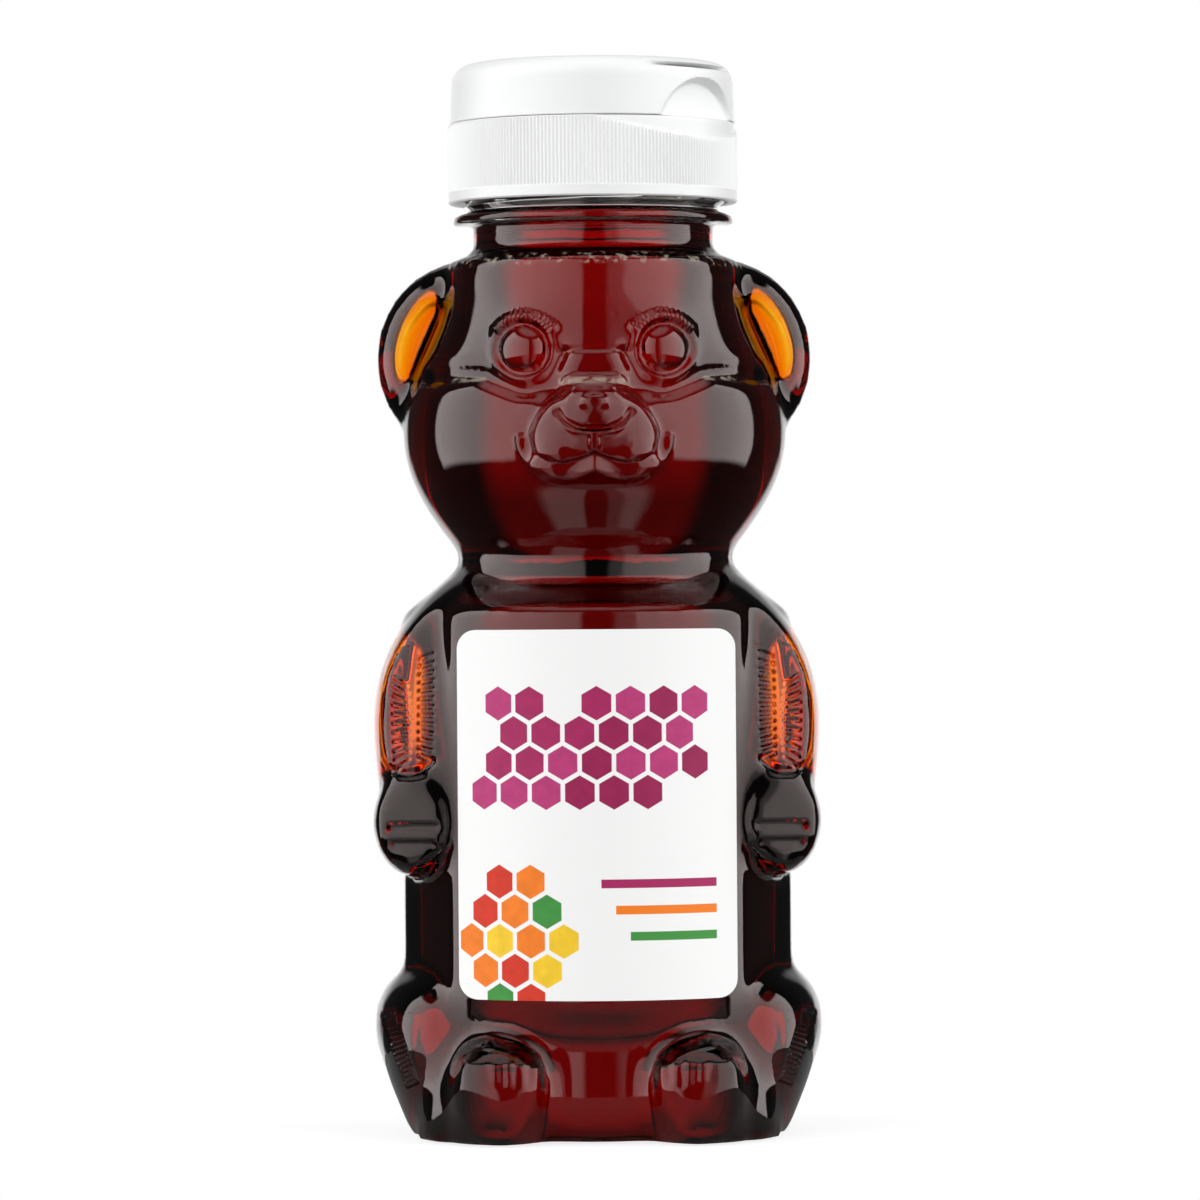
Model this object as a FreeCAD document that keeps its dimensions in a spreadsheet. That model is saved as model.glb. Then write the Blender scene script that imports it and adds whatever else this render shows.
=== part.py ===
"""Honey bear squeeze bottle with a screw-on flip-top cap.

The bottle is a thin blow-moulded bear: a label panel for a belly, a round head with ears, arms and legs that
swell out of the sides, and a round neck.  It is full of honey, and a film label is stuck on the belly.  The cap
turns on a sealing ring that lies on the lip of the neck, and its lid swings on a moulded strap.

The frame is in millimetres.  The origin is the middle of the base, +Z is up, the bear faces -Y, and its
left-hand side is at +X.
"""

import FreeCAD, Part
import math
import os
import Sketcher

# Driving dimensions: the name of the cell, its number and what it measures.
DIMENSIONS = [
    # shell and contents
    ("wall", 0.7, "wall of the blown body"),
    ("honey_gap", 0.2, "clearance between the honey and the wall"),
    ("overrun", 5.0, "how far a cutting shape runs past what it cuts"),
    # belly
    ("base_half_width", 23.5, "belly where it stands"),
    ("base_half_depth", 20.4, "belly where it stands"),
    ("base_sink", 0.4, "belly and legs run on below the ground, then all are cut flat together"),
    ("rim_height", 3.5, "top of the rounded base edge"),
    ("rim_half_width", 25.8, "belly above the base edge"),
    ("rim_half_depth", 23.6, "belly above the base edge"),
    ("lap_height", 14.0, "lap between the legs"),
    ("lap_half_width", 26.2, "belly at the lap"),
    ("lap_half_depth", 24.0, "belly at the lap"),
    ("panel_bottom", 18.5, "lower edge of the label panel"),
    ("panel_half_width", 27.3, "label panel, an elliptic cylinder"),
    ("panel_half_depth", 26.8, "label panel, an elliptic cylinder"),
    ("flank_side", 20.2, "front edge of the flat flank beside the label panel, from the mid-plane"),
    ("flank_slope", 64.0, "flat flank, in degrees from straight across"),
    ("collar_foot", 79.9, "top of the shoulder slope, inside the collar"),
    ("shoulder_top_radius", 18.6, "top of the shoulder slope, inside the collar"),
    ("shoulder_drop", 25.0, "fall of the shoulder slope"),
    ("shoulder_run", 30.0, "reach of the shoulder slope over that fall"),
    ("collar_half_width", 19.2, "collar between body and head"),
    ("collar_half_depth", 19.0, "collar between body and head"),
    ("push_up_half_width", 17.0, "hollow under the base"),
    ("push_up_half_depth", 13.0, "hollow under the base"),
    ("push_up_rise", 2.6, "hollow under the base"),
    # head
    ("collar_length", 1.4, "collar, up to the crease under the chin"),
    ("jaw_rise", 4.7, "section through the jaw, above the crease under the chin"),
    ("jaw_half_width", 22.7, "section through the jaw"),
    ("jaw_half_depth", 21.8, "section through the jaw"),
    ("cheek_rise", 10.5, "widest section of the head, above the jaw"),
    ("cheek_half_width", 26.9, "widest section of the head"),
    ("cheek_half_depth", 24.6, "widest section of the head"),
    ("temple_rise", 13.5, "section through the temples, above the widest one"),
    ("temple_half_width", 23.7, "section through the temples"),
    ("temple_half_depth", 22.3, "section through the temples"),
    ("crown_edge_rise", 11.8, "edge of the crown, above the temples"),
    ("crown_radius", 20.8, "edge of the crown"),
    ("crown_rise", 1.3, "flat of the crown, above its edge"),
    ("crown_top_radius", 18.4, "flat of the crown, under the neck"),
    # face
    ("muzzle_rise", 1.3, "muzzle centre, above the cheeks"),
    ("muzzle_reach", 20.4, "muzzle centre, forward of the axis"),
    ("muzzle_half_width", 10.4, "muzzle"),
    ("muzzle_half_depth", 8.8, "muzzle"),
    ("muzzle_half_height", 7.8, "muzzle"),
    ("nose_rise", 3.6, "nose centre, above the muzzle's"),
    ("nose_reach", 26.4, "nose centre, forward of the axis"),
    ("nose_half_width", 5.0, "nose"),
    ("nose_half_depth", 2.9, "nose"),
    ("nose_half_height", 3.5, "nose"),
    ("jowl_side", 4.3, "jowl centre, from the mid-plane"),
    ("jowl_rise", 8.8, "jowl centre, above the jaw"),
    ("jowl_reach", 23.9, "jowl centre, forward of the axis"),
    ("jowl_half_width", 4.7, "jowl"),
    ("jowl_half_depth", 4.2, "jowl"),
    ("jowl_half_height", 3.4, "jowl"),
    ("eye_side", 9.9, "eye centre, from the mid-plane"),
    ("eye_rise", 12.8, "eye centre, above the cheeks"),
    ("eye_reach", 18.9, "eye centre, forward of the axis"),
    ("eye_half_width", 3.5, "eye"),
    ("eye_half_depth", 3.0, "eye"),
    ("eye_half_height", 3.5, "eye"),
    ("brow_arc_radius", 5.2, "brow, from the eye's centre to the middle of its roll"),
    ("brow_roll_radius", 0.8, "brow roll"),
    ("brow_reach", 19.2, "middle of the brow roll, forward of the axis"),
    ("brow_turn", 25.0, "brow, turned outwards with the forehead, in degrees"),
    ("brow_sweep", 120.0, "sweep of the brow's arc, in degrees"),
    # ears
    ("ear_side", 17.4, "ear centre, from the mid-plane"),
    ("ear_rise", 12.1, "ear centre, above the cheeks"),
    ("ear_reach", -1.0, "ear centre, forward of the axis"),
    ("ear_half_width", 13.3, "ear"),
    ("ear_half_depth", 7.0, "ear"),
    ("ear_half_height", 14.0, "ear"),
    ("ear_rim", 2.4, "rim around the hollow of the ear"),
    ("ear_bevel", 1.6, "slope of the wall of the ear's hollow"),
    ("ear_floor_reach", 0.2, "floor of the ear's hollow, forward of the axis"),
    # arms, as sections from the wrist up
    ("wrist_drop", 12.0, "section at the wrist, inside the paw, below the forearm"),
    ("wrist_side", 25.0, "section at the wrist, from the mid-plane"),
    ("wrist_reach", 10.6, "section at the wrist, forward of the axis"),
    ("wrist_half_width", 6.2, "section at the wrist"),
    ("wrist_half_depth", 9.2, "section at the wrist"),
    ("forearm_drop", 9.0, "section at the forearm, below the elbow"),
    ("forearm_side", 24.7, "section at the forearm, from the mid-plane"),
    ("forearm_reach", 4.4, "section at the forearm, forward of the axis"),
    ("forearm_half_width", 6.5, "section at the forearm"),
    ("forearm_half_depth", 16.0, "section at the forearm"),
    ("elbow_height", 64.0, "section at the elbow, which carries the whole arm"),
    ("elbow_side", 24.5, "section at the elbow, from the mid-plane"),
    ("elbow_reach", 3.4, "section at the elbow, forward of the axis"),
    ("elbow_half_width", 6.0, "section at the elbow"),
    ("elbow_half_depth", 16.0, "section at the elbow"),
    ("upper_arm_rise", 8.0, "section at the upper arm, above the elbow"),
    ("upper_arm_side", 21.8, "section at the upper arm, from the mid-plane"),
    ("upper_arm_reach", 1.8, "section at the upper arm, forward of the axis"),
    ("upper_arm_half_width", 4.9, "section at the upper arm"),
    ("upper_arm_half_depth", 14.6, "section at the upper arm"),
    ("shoulder_rise", 7.6, "section at the shoulder, above the upper arm"),
    ("shoulder_side", 14.6, "section at the shoulder, from the mid-plane"),
    ("shoulder_reach", 1.0, "section at the shoulder, forward of the axis"),
    ("shoulder_half_width", 3.6, "section at the shoulder"),
    ("shoulder_half_depth", 8.6, "section at the shoulder"),
    ("paw_side", 25.3, "paw centre, from the mid-plane"),
    ("paw_reach", 11.4, "paw centre, forward of the axis"),
    ("paw_drop", 20.0, "paw centre, below the elbow"),
    ("paw_half_width", 5.9, "paw"),
    ("paw_half_depth", 11.0, "paw"),
    ("paw_half_height", 7.8, "paw"),
    ("arm_face_reach", 15.5, "flat front of the arm at its elbow, forward of the axis"),
    ("paw_face_reach", 18.4, "flat front of the paw, forward of the axis"),
    ("arm_face_turn", 14.0, "flat fronts of arm and paw, turned outwards, in degrees"),
    ("arm_face_lean", 8.0, "flat front of the arm, leaning back, in degrees"),
    # groove between each arm and the back
    ("groove_side", 23.8, "groove behind the arm, from the mid-plane"),
    ("groove_drop", 5.0, "middle of the groove behind the arm, below the elbow"),
    ("groove_end_reach", 8.5, "flat end of the groove, forward of the axis"),
    ("groove_end_half_width", 2.3, "flat end of the groove"),
    ("groove_end_half_height", 10.5, "flat end of the groove"),
    ("groove_mouth_reach", -20.0, "mouth of the groove, forward of the axis"),
    ("groove_mouth_half_width", 3.5, "mouth of the groove"),
    ("groove_mouth_half_height", 14.5, "mouth of the groove"),
    # legs
    ("thigh_side", 21.5, "middle of the leg, from the mid-plane"),
    ("thigh_reach", 0.4, "middle of the leg, forward of the axis"),
    ("thigh_top", 24.6, "height of the leg"),
    ("thigh_half_width", 10.0, "widest section of the leg"),
    ("thigh_half_depth", 18.5, "widest section of the leg"),
    ("foot_side", 13.6, "foot centre, from the mid-plane"),
    ("foot_reach", 20.6, "foot centre, forward of the axis"),
    ("foot_height", 6.6, "foot centre"),
    ("foot_half_width", 7.4, "foot"),
    ("foot_half_depth", 9.0, "foot"),
    ("foot_half_height", 8.4, "foot"),
    ("sole_reach", 28.0, "flat sole, forward of the axis"),
    ("sole_turn", 4.0, "flat sole, turned outwards, in degrees"),
    ("toe_half_width", 1.7, "each toe"),
    ("toe_half_depth", 1.6, "each toe"),
    ("toe_half_height", 2.4, "each toe"),
    # neck
    ("neck_radius", 16.9, "neck under the support bead"),
    ("neck_length", 4.1, "neck from the crown to the bead"),
    ("bead_radius", 19.7, "support bead"),
    ("bead_edge", 1.3, "support bead at its outer edge"),
    ("bead_root", 2.0, "support bead at the neck"),
    ("finish_radius", 17.6, "outside of the neck above the bead"),
    ("finish_length", 10.2, "neck from the bead to its lip"),
    ("bore_radius", 15.4, "inside of the neck"),
    ("fill_above_bead", 1.8, "honey's level over the foot of the bead"),
    # label
    ("label_width", 38.4, "label, straight across"),
    ("label_length", 50.8, "label, top to bottom"),
    ("label_bottom", 19.8, "lower edge of the label"),
    ("label_corner", 2.6, "rounded corner of the label"),
    ("label_film", 0.1, "label film"),
    ("label_glue", 0.08, "glue line behind the label"),
    # cap
    ("ring_thickness", 0.8, "sealing ring"),
    ("ring_inner_radius", 14.0, "sealing ring"),
    ("ring_clearance", 0.3, "room round the sealing ring in the cap"),
    ("skirt_radius", 20.35, "outside of the cap"),
    ("skirt_bore_radius", 18.9, "inside of the cap, over the neck's thread"),
    ("skirt_drop", 9.8, "skirt below the underside of the deck"),
    ("deck_thickness", 1.3, "deck of the cap"),
    ("spout_radius", 4.9, "spout at the deck"),
    ("spout_tip_radius", 4.3, "spout at its tip"),
    ("spout_rise", 3.6, "spout above the deck"),
    ("orifice_radius", 3.3, "hole that the honey comes out of"),
    ("thumb_turn", 52.0, "direction of the thumb notch, in degrees from the front towards +X"),
    ("thumb_start", 12.2, "inner end of the smooth thumb recess, from the axis"),
    ("thumb_tilt", 20.0, "slope of the thumb recess's lower edge, in degrees"),
    ("thumb_depth", 0.35, "smooth thumb recess in the skirt"),
    # lid
    ("seam_gap", 0.1, "gap between cap and lid"),
    ("lid_radius", 20.05, "outside of the lid"),
    ("lid_height", 8.3, "lid"),
    ("lid_wall", 1.3, "wall and top of the lid"),
    ("lid_edge_round", 2.8, "rounded top edge of the lid"),
    ("lid_draft", 0.25, "how much the lid narrows to the top"),
    ("notch_radius", 9.2, "arch of the thumb notch"),
    ("notch_rise", 5.6, "thumb notch above the seam"),
    ("notch_depth", 2.0, "thumb notch"),
    ("plug_radius", 2.4, "plug under the lid"),
    ("plug_tip_radius", 1.9, "tip of the plug"),
    ("plug_depth", 1.8, "plug inside the spout"),
    # strap hinge
    ("strap_width", 9.0, "strap between cap and lid"),
    ("strap_thickness", 0.45, "strap between cap and lid"),
    ("strap_bend_radius", 0.9, "inside of the strap's bend"),
    ("hinge_pad_rise", 1.9, "flat pad that the strap is rooted in"),
    ("hinge_pad_proud", 0.15, "flat pad beyond the skirt"),
    ("hinge_pad_depth", 1.2, "flat pad, from its face into the wall"),
    ("hinge_pad_margin", 0.5, "flat pad beyond each side of the strap"),
]

# Toes on a foot: shares of the foot's half width, half depth and half height from its centre.
TOE_PLACE_SHARES = [(-0.59, 0.61, 0.42), (-0.23, 0.69, 0.46), (0.12, 0.69, 0.46), (0.58, 0.61, 0.42)]

# Sections of a leg from the ground up: shares of its height, its half width and its half depth.
LEG_SHARES = [(-0.03, 0.45, 0.79), (0.12, 0.62, 0.88), (0.40, 0.89, 0.97), (0.60, 1.0, 1.0), (0.76, 0.94, 0.93),
              (0.88, 0.75, 0.76), (0.97, 0.45, 0.45)]

ORIGIN = FreeCAD.Vector(0, 0, 0)
X_AXIS = FreeCAD.Vector(1, 0, 0)
Y_AXIS = FreeCAD.Vector(0, 1, 0)
Z_AXIS = FreeCAD.Vector(0, 0, 1)
QUARTER_TURN = 90


class Size:
    """A cell of the sheet, or a sum of cells: its number now and the expression that keeps it live."""

    def __init__(self, number, text):
        self.number = number
        self.text = text

    def __add__(self, other):
        return Size(self.number + other.number, f"({self.text} + {other.text})")

    def __sub__(self, other):
        return Size(self.number - other.number, f"({self.text} - {other.text})")

    def __mul__(self, share):
        return Size(self.number * share, f"({self.text} * {share})")

    def __neg__(self):
        return Size(-self.number, f"(0 - {self.text})")


doc = FreeCAD.newDocument("HoneyBearBottle")
sheet = doc.addObject("Spreadsheet::Sheet", "Sheet")
for row, (name, number, note) in enumerate(DIMENSIONS, start=1):
    sheet.set(f"A{row}", name)
    sheet.set(f"B{row}", str(number))
    sheet.setAlias(f"B{row}", name)
    sheet.set(f"C{row}", note)
doc.recompute()

SIZES = {name: Size(number, f"Sheet.{name}") for name, number, note in DIMENSIONS}
NONE = Size(0, "0")

# Heights of the head and the arm, each a step above another: the height, what it stands on and the step.
for height, below, step in [
    ("waist_height", "collar_foot", "collar_length"),
    ("jaw_height", "waist_height", "jaw_rise"),
    ("cheek_height", "jaw_height", "cheek_rise"),
    ("temple_height", "cheek_height", "temple_rise"),
    ("crown_height", "temple_height", "crown_edge_rise"),
    ("crown_top_height", "crown_height", "crown_rise"),
    ("muzzle_height", "cheek_height", "muzzle_rise"),
    ("nose_height", "muzzle_height", "nose_rise"),
    ("jowl_height", "jaw_height", "jowl_rise"),
    ("eye_height", "cheek_height", "eye_rise"),
    ("ear_height", "cheek_height", "ear_rise"),
    ("upper_arm_height", "elbow_height", "upper_arm_rise"),
    ("shoulder_height", "upper_arm_height", "shoulder_rise"),
]:
    SIZES[height] = SIZES[below] + SIZES[step]

# Heights of the arm below its elbow: the height, what it hangs from and the drop.
for height, above, drop in [
    ("forearm_height", "elbow_height", "forearm_drop"),
    ("wrist_height", "forearm_height", "wrist_drop"),
    ("paw_height", "elbow_height", "paw_drop"),
    ("groove_height", "elbow_height", "groove_drop"),
]:
    SIZES[height] = SIZES[above] - SIZES[drop]


def size(name):
    return SIZES[name]


def bind(thing, **lengths):
    """Tie properties of an object to the sheet."""
    for name, length in lengths.items():
        thing.setExpression(name, length.text)
    return thing


def place(thing, x=NONE, y=NONE, z=NONE, turn=None):
    """Put an object at a point tied to the sheet, after an optional turn."""
    at = FreeCAD.Vector(x.number, y.number, z.number)
    thing.Placement = FreeCAD.Placement(at, turn or FreeCAD.Rotation())
    for axis, length in (("x", x), ("y", y), ("z", z)):
        thing.setExpression(f"Placement.Base.{axis}", length.text)
    return thing


# Solids of the blown bear


def ellipsoid(name, half_width, half_depth, half_height, x, y, z):
    lump = doc.addObject("Part::Ellipsoid", name)
    bind(lump, Radius2=half_width, Radius3=half_depth, Radius1=half_height)
    return place(lump, x, y, z)


def ellipse(name, half_width, half_depth, x, y, z):
    """A level elliptic outline, turned so that its longer half comes first as the kernel wants it."""
    outline = doc.addObject("Part::Ellipse", name)
    if half_width.number >= half_depth.number:
        bind(outline, MajorRadius=half_width, MinorRadius=half_depth)
        return place(outline, x, y, z)
    bind(outline, MajorRadius=half_depth, MinorRadius=half_width)
    return place(outline, x, y, z, FreeCAD.Rotation(Z_AXIS, QUARTER_TURN))


def loft(name, outlines):
    skin = doc.addObject("Part::Loft", name)
    skin.Sections = outlines
    skin.Solid = True
    return skin


def column(name, outline, height):
    """A level outline drawn straight up."""
    prism = doc.addObject("Part::Extrusion", name)
    prism.Base = outline
    prism.DirMode = "Custom"
    prism.Dir = Z_AXIS
    prism.Solid = True
    return bind(prism, LengthFwd=height)


def cylinder(name, radius, z, height):
    rod = doc.addObject("Part::Cylinder", name)
    bind(rod, Radius=radius, Height=height)
    return place(rod, z=z)


def cone(name, radius_below, radius_above, z, height):
    frustum = doc.addObject("Part::Cone", name)
    bind(frustum, Radius1=radius_below, Radius2=radius_above, Height=height)
    return place(frustum, z=z)


def cut(name, base, tool):
    result = doc.addObject("Part::Cut", name)
    result.Base = base
    result.Tool = tool
    return result


def common(name, base, tool):
    result = doc.addObject("Part::Common", name)
    result.Base = base
    result.Tool = tool
    return result


def fuse(name, shapes):
    result = doc.addObject("Part::MultiFuse", name)
    result.Shapes = shapes
    return result


def mirror(name, source):
    """The same solid on the other side of the mid-plane."""
    twin = doc.addObject("Part::Mirroring", name)
    twin.Source = source
    twin.Base = ORIGIN
    twin.Normal = X_AXIS
    return twin


def lump(skin, part, inset):
    """One rounded swelling of the bear, from the sizes that carry its name."""
    halves = [size(f"{part}_half_{side}") - inset for side in ("width", "depth", "height")]
    side = size(f"{part}_side") if f"{part}_side" in SIZES else NONE
    return ellipsoid(f"{skin}_{part}", *halves, side, -size(f"{part}_reach"), size(f"{part}_height"))


def beyond_plane(name, x, y, z, turn, lean, reach, inset):
    """A block in front of a flat face: through a point, turned to +X, leaning back, moved in by the inset."""
    facing = FreeCAD.Rotation(Z_AXIS, turn.number) * FreeCAD.Rotation(X_AXIS, -lean.number)
    block = doc.addObject("Part::Box", name)
    bind(block, Length=reach * 2, Width=reach, Height=reach * 2)
    corner = facing.multVec(FreeCAD.Vector(-reach.number, inset.number - reach.number, -reach.number))
    block.Placement = FreeCAD.Placement(corner + FreeCAD.Vector(x.number, y.number, z.number), facing)
    return block


def flanks(skin, inset, trunk):
    """The trunk with a flat flank from each edge of the label panel to its side."""
    half_width = size("panel_half_width")
    half_depth = size("panel_half_depth")
    side = size("flank_side")
    depth_share = math.sqrt(1 - (side.number / half_width.number) ** 2)
    off_left = beyond_plane(f"{skin}_off_left_flank", side, -(half_depth * depth_share), size("groove_height"),
                            size("flank_slope"), NONE, size("collar_foot"), inset)
    off_both = fuse(f"{skin}_off_flanks", [off_left, mirror(f"{skin}_off_right_flank", off_left)])
    return cut(f"{skin}_trunk_with_flanks", trunk, off_both)


def belly(skin, inset):
    """Rounded base, lap, label panel, shoulder slope and collar."""
    outlines = []
    sections = [("base", inset - size("base_sink")), ("rim", size("rim_height")), ("lap", size("lap_height")),
                ("panel", size("panel_bottom"))]
    for part, height in sections:
        halves = (size(f"{part}_half_width") - inset, size(f"{part}_half_depth") - inset)
        outlines.append(ellipse(f"{skin}_{part}_outline", *halves, NONE, NONE, height))
    seat = loft(f"{skin}_seat", outlines)
    slope_foot = size("collar_foot") - size("shoulder_drop")
    panel = column(f"{skin}_panel", outlines[-1], slope_foot - size("panel_bottom"))
    halves = (size("panel_half_width") - inset, size("panel_half_depth") - inset)
    chest_outline = ellipse(f"{skin}_chest_outline", *halves, NONE, NONE, slope_foot)
    chest = column(f"{skin}_chest", chest_outline, size("shoulder_drop") - inset)
    top_radius = size("shoulder_top_radius") - inset
    slope = cone(f"{skin}_slope", top_radius + size("shoulder_run"), top_radius, slope_foot,
                 size("shoulder_drop") - inset)
    shoulders = common(f"{skin}_shoulders", chest, slope)
    collar_halves = (size("collar_half_width") - inset, size("collar_half_depth") - inset)
    collar_outline = ellipse(f"{skin}_collar_outline", *collar_halves, NONE, NONE, slope_foot)
    collar = column(f"{skin}_collar", collar_outline, size("waist_height") - slope_foot)
    trunk = flanks(skin, inset, fuse(f"{skin}_trunk", [panel, shoulders]))
    return [seat, trunk, collar]


def head(skin, inset):
    """Jaw, cheeks, temples and crown, then the flat that carries the neck."""
    sections = [("collar", size("waist_height")), ("jaw", size("jaw_height")), ("cheek", size("cheek_height")),
                ("temple", size("temple_height"))]
    outlines = []
    for part, height in sections:
        halves = (size(f"{part}_half_width") - inset, size(f"{part}_half_depth") - inset)
        outlines.append(ellipse(f"{skin}_{part}_ring", *halves, NONE, NONE, height))
    crown_radius = size("crown_radius") - inset
    outlines.append(ellipse(f"{skin}_crown_ring", crown_radius, crown_radius, NONE, NONE, size("crown_height")))
    skull = loft(f"{skin}_skull", outlines)
    crown = cone(f"{skin}_crown", crown_radius, size("crown_top_radius") - inset, size("crown_height"),
                 size("crown_top_height") - size("crown_height") - inset)
    return [skull, crown, lump(skin, "muzzle", inset)]


def ear(skin, inset):
    """A round ear with a flat-floored hollow in its front."""
    mouth = size("ear_half_width") - size("ear_rim") + inset
    hollow = doc.addObject("Part::Cone", f"{skin}_ear_hollow")
    bind(hollow, Radius1=mouth - size("ear_bevel"), Radius2=mouth, Height=size("ear_half_depth"))
    place(hollow, size("ear_side"), inset - size("ear_floor_reach"), size("ear_height"),
          FreeCAD.Rotation(X_AXIS, QUARTER_TURN))
    return cut(f"{skin}_ear_shell", lump(skin, "ear", inset), hollow)


def arm(skin, inset):
    """An arm hanging at the side, from the shoulder to the wrist, with a flat front."""
    outlines = []
    for part in ("wrist", "forearm", "elbow", "upper_arm", "shoulder"):
        halves = (size(f"{part}_half_width") - inset, size(f"{part}_half_depth") - inset)
        outlines.append(ellipse(f"{skin}_{part}_outline", *halves, size(f"{part}_side"),
                                -size(f"{part}_reach"), size(f"{part}_height")))
    in_front = beyond_plane(f"{skin}_before_arm", size("elbow_side"), -size("arm_face_reach"),
                            size("elbow_height"), size("arm_face_turn"), size("arm_face_lean"),
                            size("elbow_height"), inset)
    return cut(f"{skin}_arm", loft(f"{skin}_arm_round", outlines), in_front)


def paw(skin, inset):
    """A paw with a flat front, under the end of the arm."""
    in_front = beyond_plane(f"{skin}_before_paw", size("paw_side"), -size("paw_face_reach"), size("paw_height"),
                            size("arm_face_turn"), NONE, size("elbow_height"), inset)
    return cut(f"{skin}_paw_flat", lump(skin, "paw", inset), in_front)


def groove(skin, inset):
    """A groove behind the arm that opens to the back and narrows to a flat oval end."""
    facing = FreeCAD.Rotation(X_AXIS, QUARTER_TURN) * FreeCAD.Rotation(Z_AXIS, QUARTER_TURN)
    outlines = []
    for part, reach in (("end", size("groove_end_reach") + inset), ("mouth", size("groove_mouth_reach"))):
        outline = doc.addObject("Part::Ellipse", f"{skin}_groove_{part}")
        bind(outline, MajorRadius=size(f"groove_{part}_half_height") + inset,
             MinorRadius=size(f"groove_{part}_half_width") + inset)
        outlines.append(place(outline, size("groove_side"), -reach, size("groove_height"), facing))
    return loft(f"{skin}_groove", outlines)


def leg(skin, inset):
    """A leg bent beside the belly: broad at the knee's height, narrower down to the ground."""
    outlines = []
    for number, (up_share, width_share, depth_share) in enumerate(LEG_SHARES, start=1):
        outlines.append(ellipse(
            f"{skin}_leg_outline_{number}", size("thigh_half_width") * width_share - inset,
            size("thigh_half_depth") * depth_share - inset, size("thigh_side"), -size("thigh_reach"),
            (size("thigh_top") - inset) * up_share))
    return loft(f"{skin}_leg", outlines)


def foot(skin, inset):
    """A foot that points forward, its flat sole upright."""
    in_front = beyond_plane(f"{skin}_before_sole", size("foot_side"), -size("sole_reach"), size("foot_height"),
                            size("sole_turn"), NONE, size("elbow_height"), inset)
    return cut(f"{skin}_foot_flat", lump(skin, "foot", inset), in_front)


def brow(skin):
    """A raised arc over the eye."""
    roll = doc.addObject("Part::Torus", f"{skin}_brow")
    bind(roll, Radius1=size("brow_arc_radius"), Radius2=size("brow_roll_radius"), Angle3=size("brow_sweep"))
    facing = FreeCAD.Rotation(Z_AXIS, size("brow_turn").number) * FreeCAD.Rotation(X_AXIS, QUARTER_TURN)
    start = FreeCAD.Rotation(Z_AXIS, QUARTER_TURN - size("brow_sweep").number / 2)
    return place(roll, size("eye_side"), -size("brow_reach"), size("eye_height"), facing * start)


def toes(skin):
    pads = []
    for number, (across_share, forward_share, up_share) in enumerate(TOE_PLACE_SHARES, start=1):
        pads.append(ellipsoid(
            f"{skin}_toe_{number}", size("toe_half_width"), size("toe_half_depth"), size("toe_half_height"),
            size("foot_side") + size("foot_half_width") * across_share,
            -(size("foot_reach") + size("foot_half_depth") * forward_share),
            size("foot_height") + size("foot_half_height") * up_share))
    return pads


def bear(skin, inset, detailed):
    """The whole blown form, inset from the outside by the given length, standing on a flat base."""
    one_side = [ear(skin, inset), arm(skin, inset), paw(skin, inset), leg(skin, inset), foot(skin, inset)]
    middle = belly(skin, inset) + head(skin, inset)
    if detailed:
        one_side += [lump(skin, part, inset) for part in ("eye", "jowl")] + [brow(skin)] + toes(skin)
        middle.append(lump(skin, "nose", inset))
    left = fuse(f"{skin}_left", one_side)
    whole = fuse(f"{skin}_whole", middle + [left, mirror(f"{skin}_right", left)])
    half_reach = size("thigh_side") + size("thigh_half_width") + size("overrun")
    below = doc.addObject("Part::Box", f"{skin}_below")
    bind(below, Length=half_reach * 2, Width=half_reach * 2, Height=size("foot_half_height") + inset)
    place(below, -half_reach, -half_reach, -size("foot_half_height"))
    push_up = ellipsoid(f"{skin}_push_up", size("push_up_half_width") + inset,
                        size("push_up_half_depth") + inset, size("push_up_rise") + inset, NONE, NONE, NONE)
    behind_arm = groove(skin, inset)
    hollows = [below, push_up, behind_arm, mirror(f"{skin}_right_groove", behind_arm)]
    return cut(f"{skin}_form", whole, fuse(f"{skin}_hollows", hollows))


# Turned and moulded pieces


def origin_plane(body, role):
    return [plane for plane in body.Origin.OriginFeatures if plane.Role == role][0]


def sketch_on(body, name, role, height=None):
    """A sketch on one of the body's own planes, raised to a height tied to the sheet."""
    sketch = body.newObject("Sketcher::SketchObject", name)
    sketch.AttachmentSupport = (origin_plane(body, role), [""])
    sketch.MapMode = "FlatFace"
    if height:
        sketch.AttachmentOffset = FreeCAD.Placement(Z_AXIS * height.number, FreeCAD.Rotation())
        sketch.setExpression("AttachmentOffset.Base.z", height.text)
    return sketch


def hold(sketch, geometry, point, x, y):
    """Tie one point of a sketch to the sheet, from the sketch's origin."""
    for direction, length in (("X", x), ("Y", y)):
        row = sketch.addConstraint(
            Sketcher.Constraint(f"Distance{direction}", -1, 1, geometry, point, length.number))
        sketch.setExpression(f"Constraints[{row}]", length.text)


def turned(body, name, corners):
    """Revolve a closed outline of (radius, height) corners about the body's upright axis."""
    sketch = sketch_on(body, f"{name}_profile", "XZ_Plane")
    points = [FreeCAD.Vector(radius.number, height.number, 0) for radius, height in corners]
    for start, end in zip(points, points[1:] + points[:1]):
        sketch.addGeometry(Part.LineSegment(start, end))
    for line in range(len(points)):
        sketch.addConstraint(Sketcher.Constraint("Coincident", line, 2, (line + 1) % len(points), 1))
        hold(sketch, line, 1, *corners[line])
    revolve = body.newObject("PartDesign::Revolution", name)
    revolve.Profile = sketch
    revolve.ReferenceAxis = (sketch, ["V_Axis"])
    revolve.Angle = 4 * QUARTER_TURN
    return revolve


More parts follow.
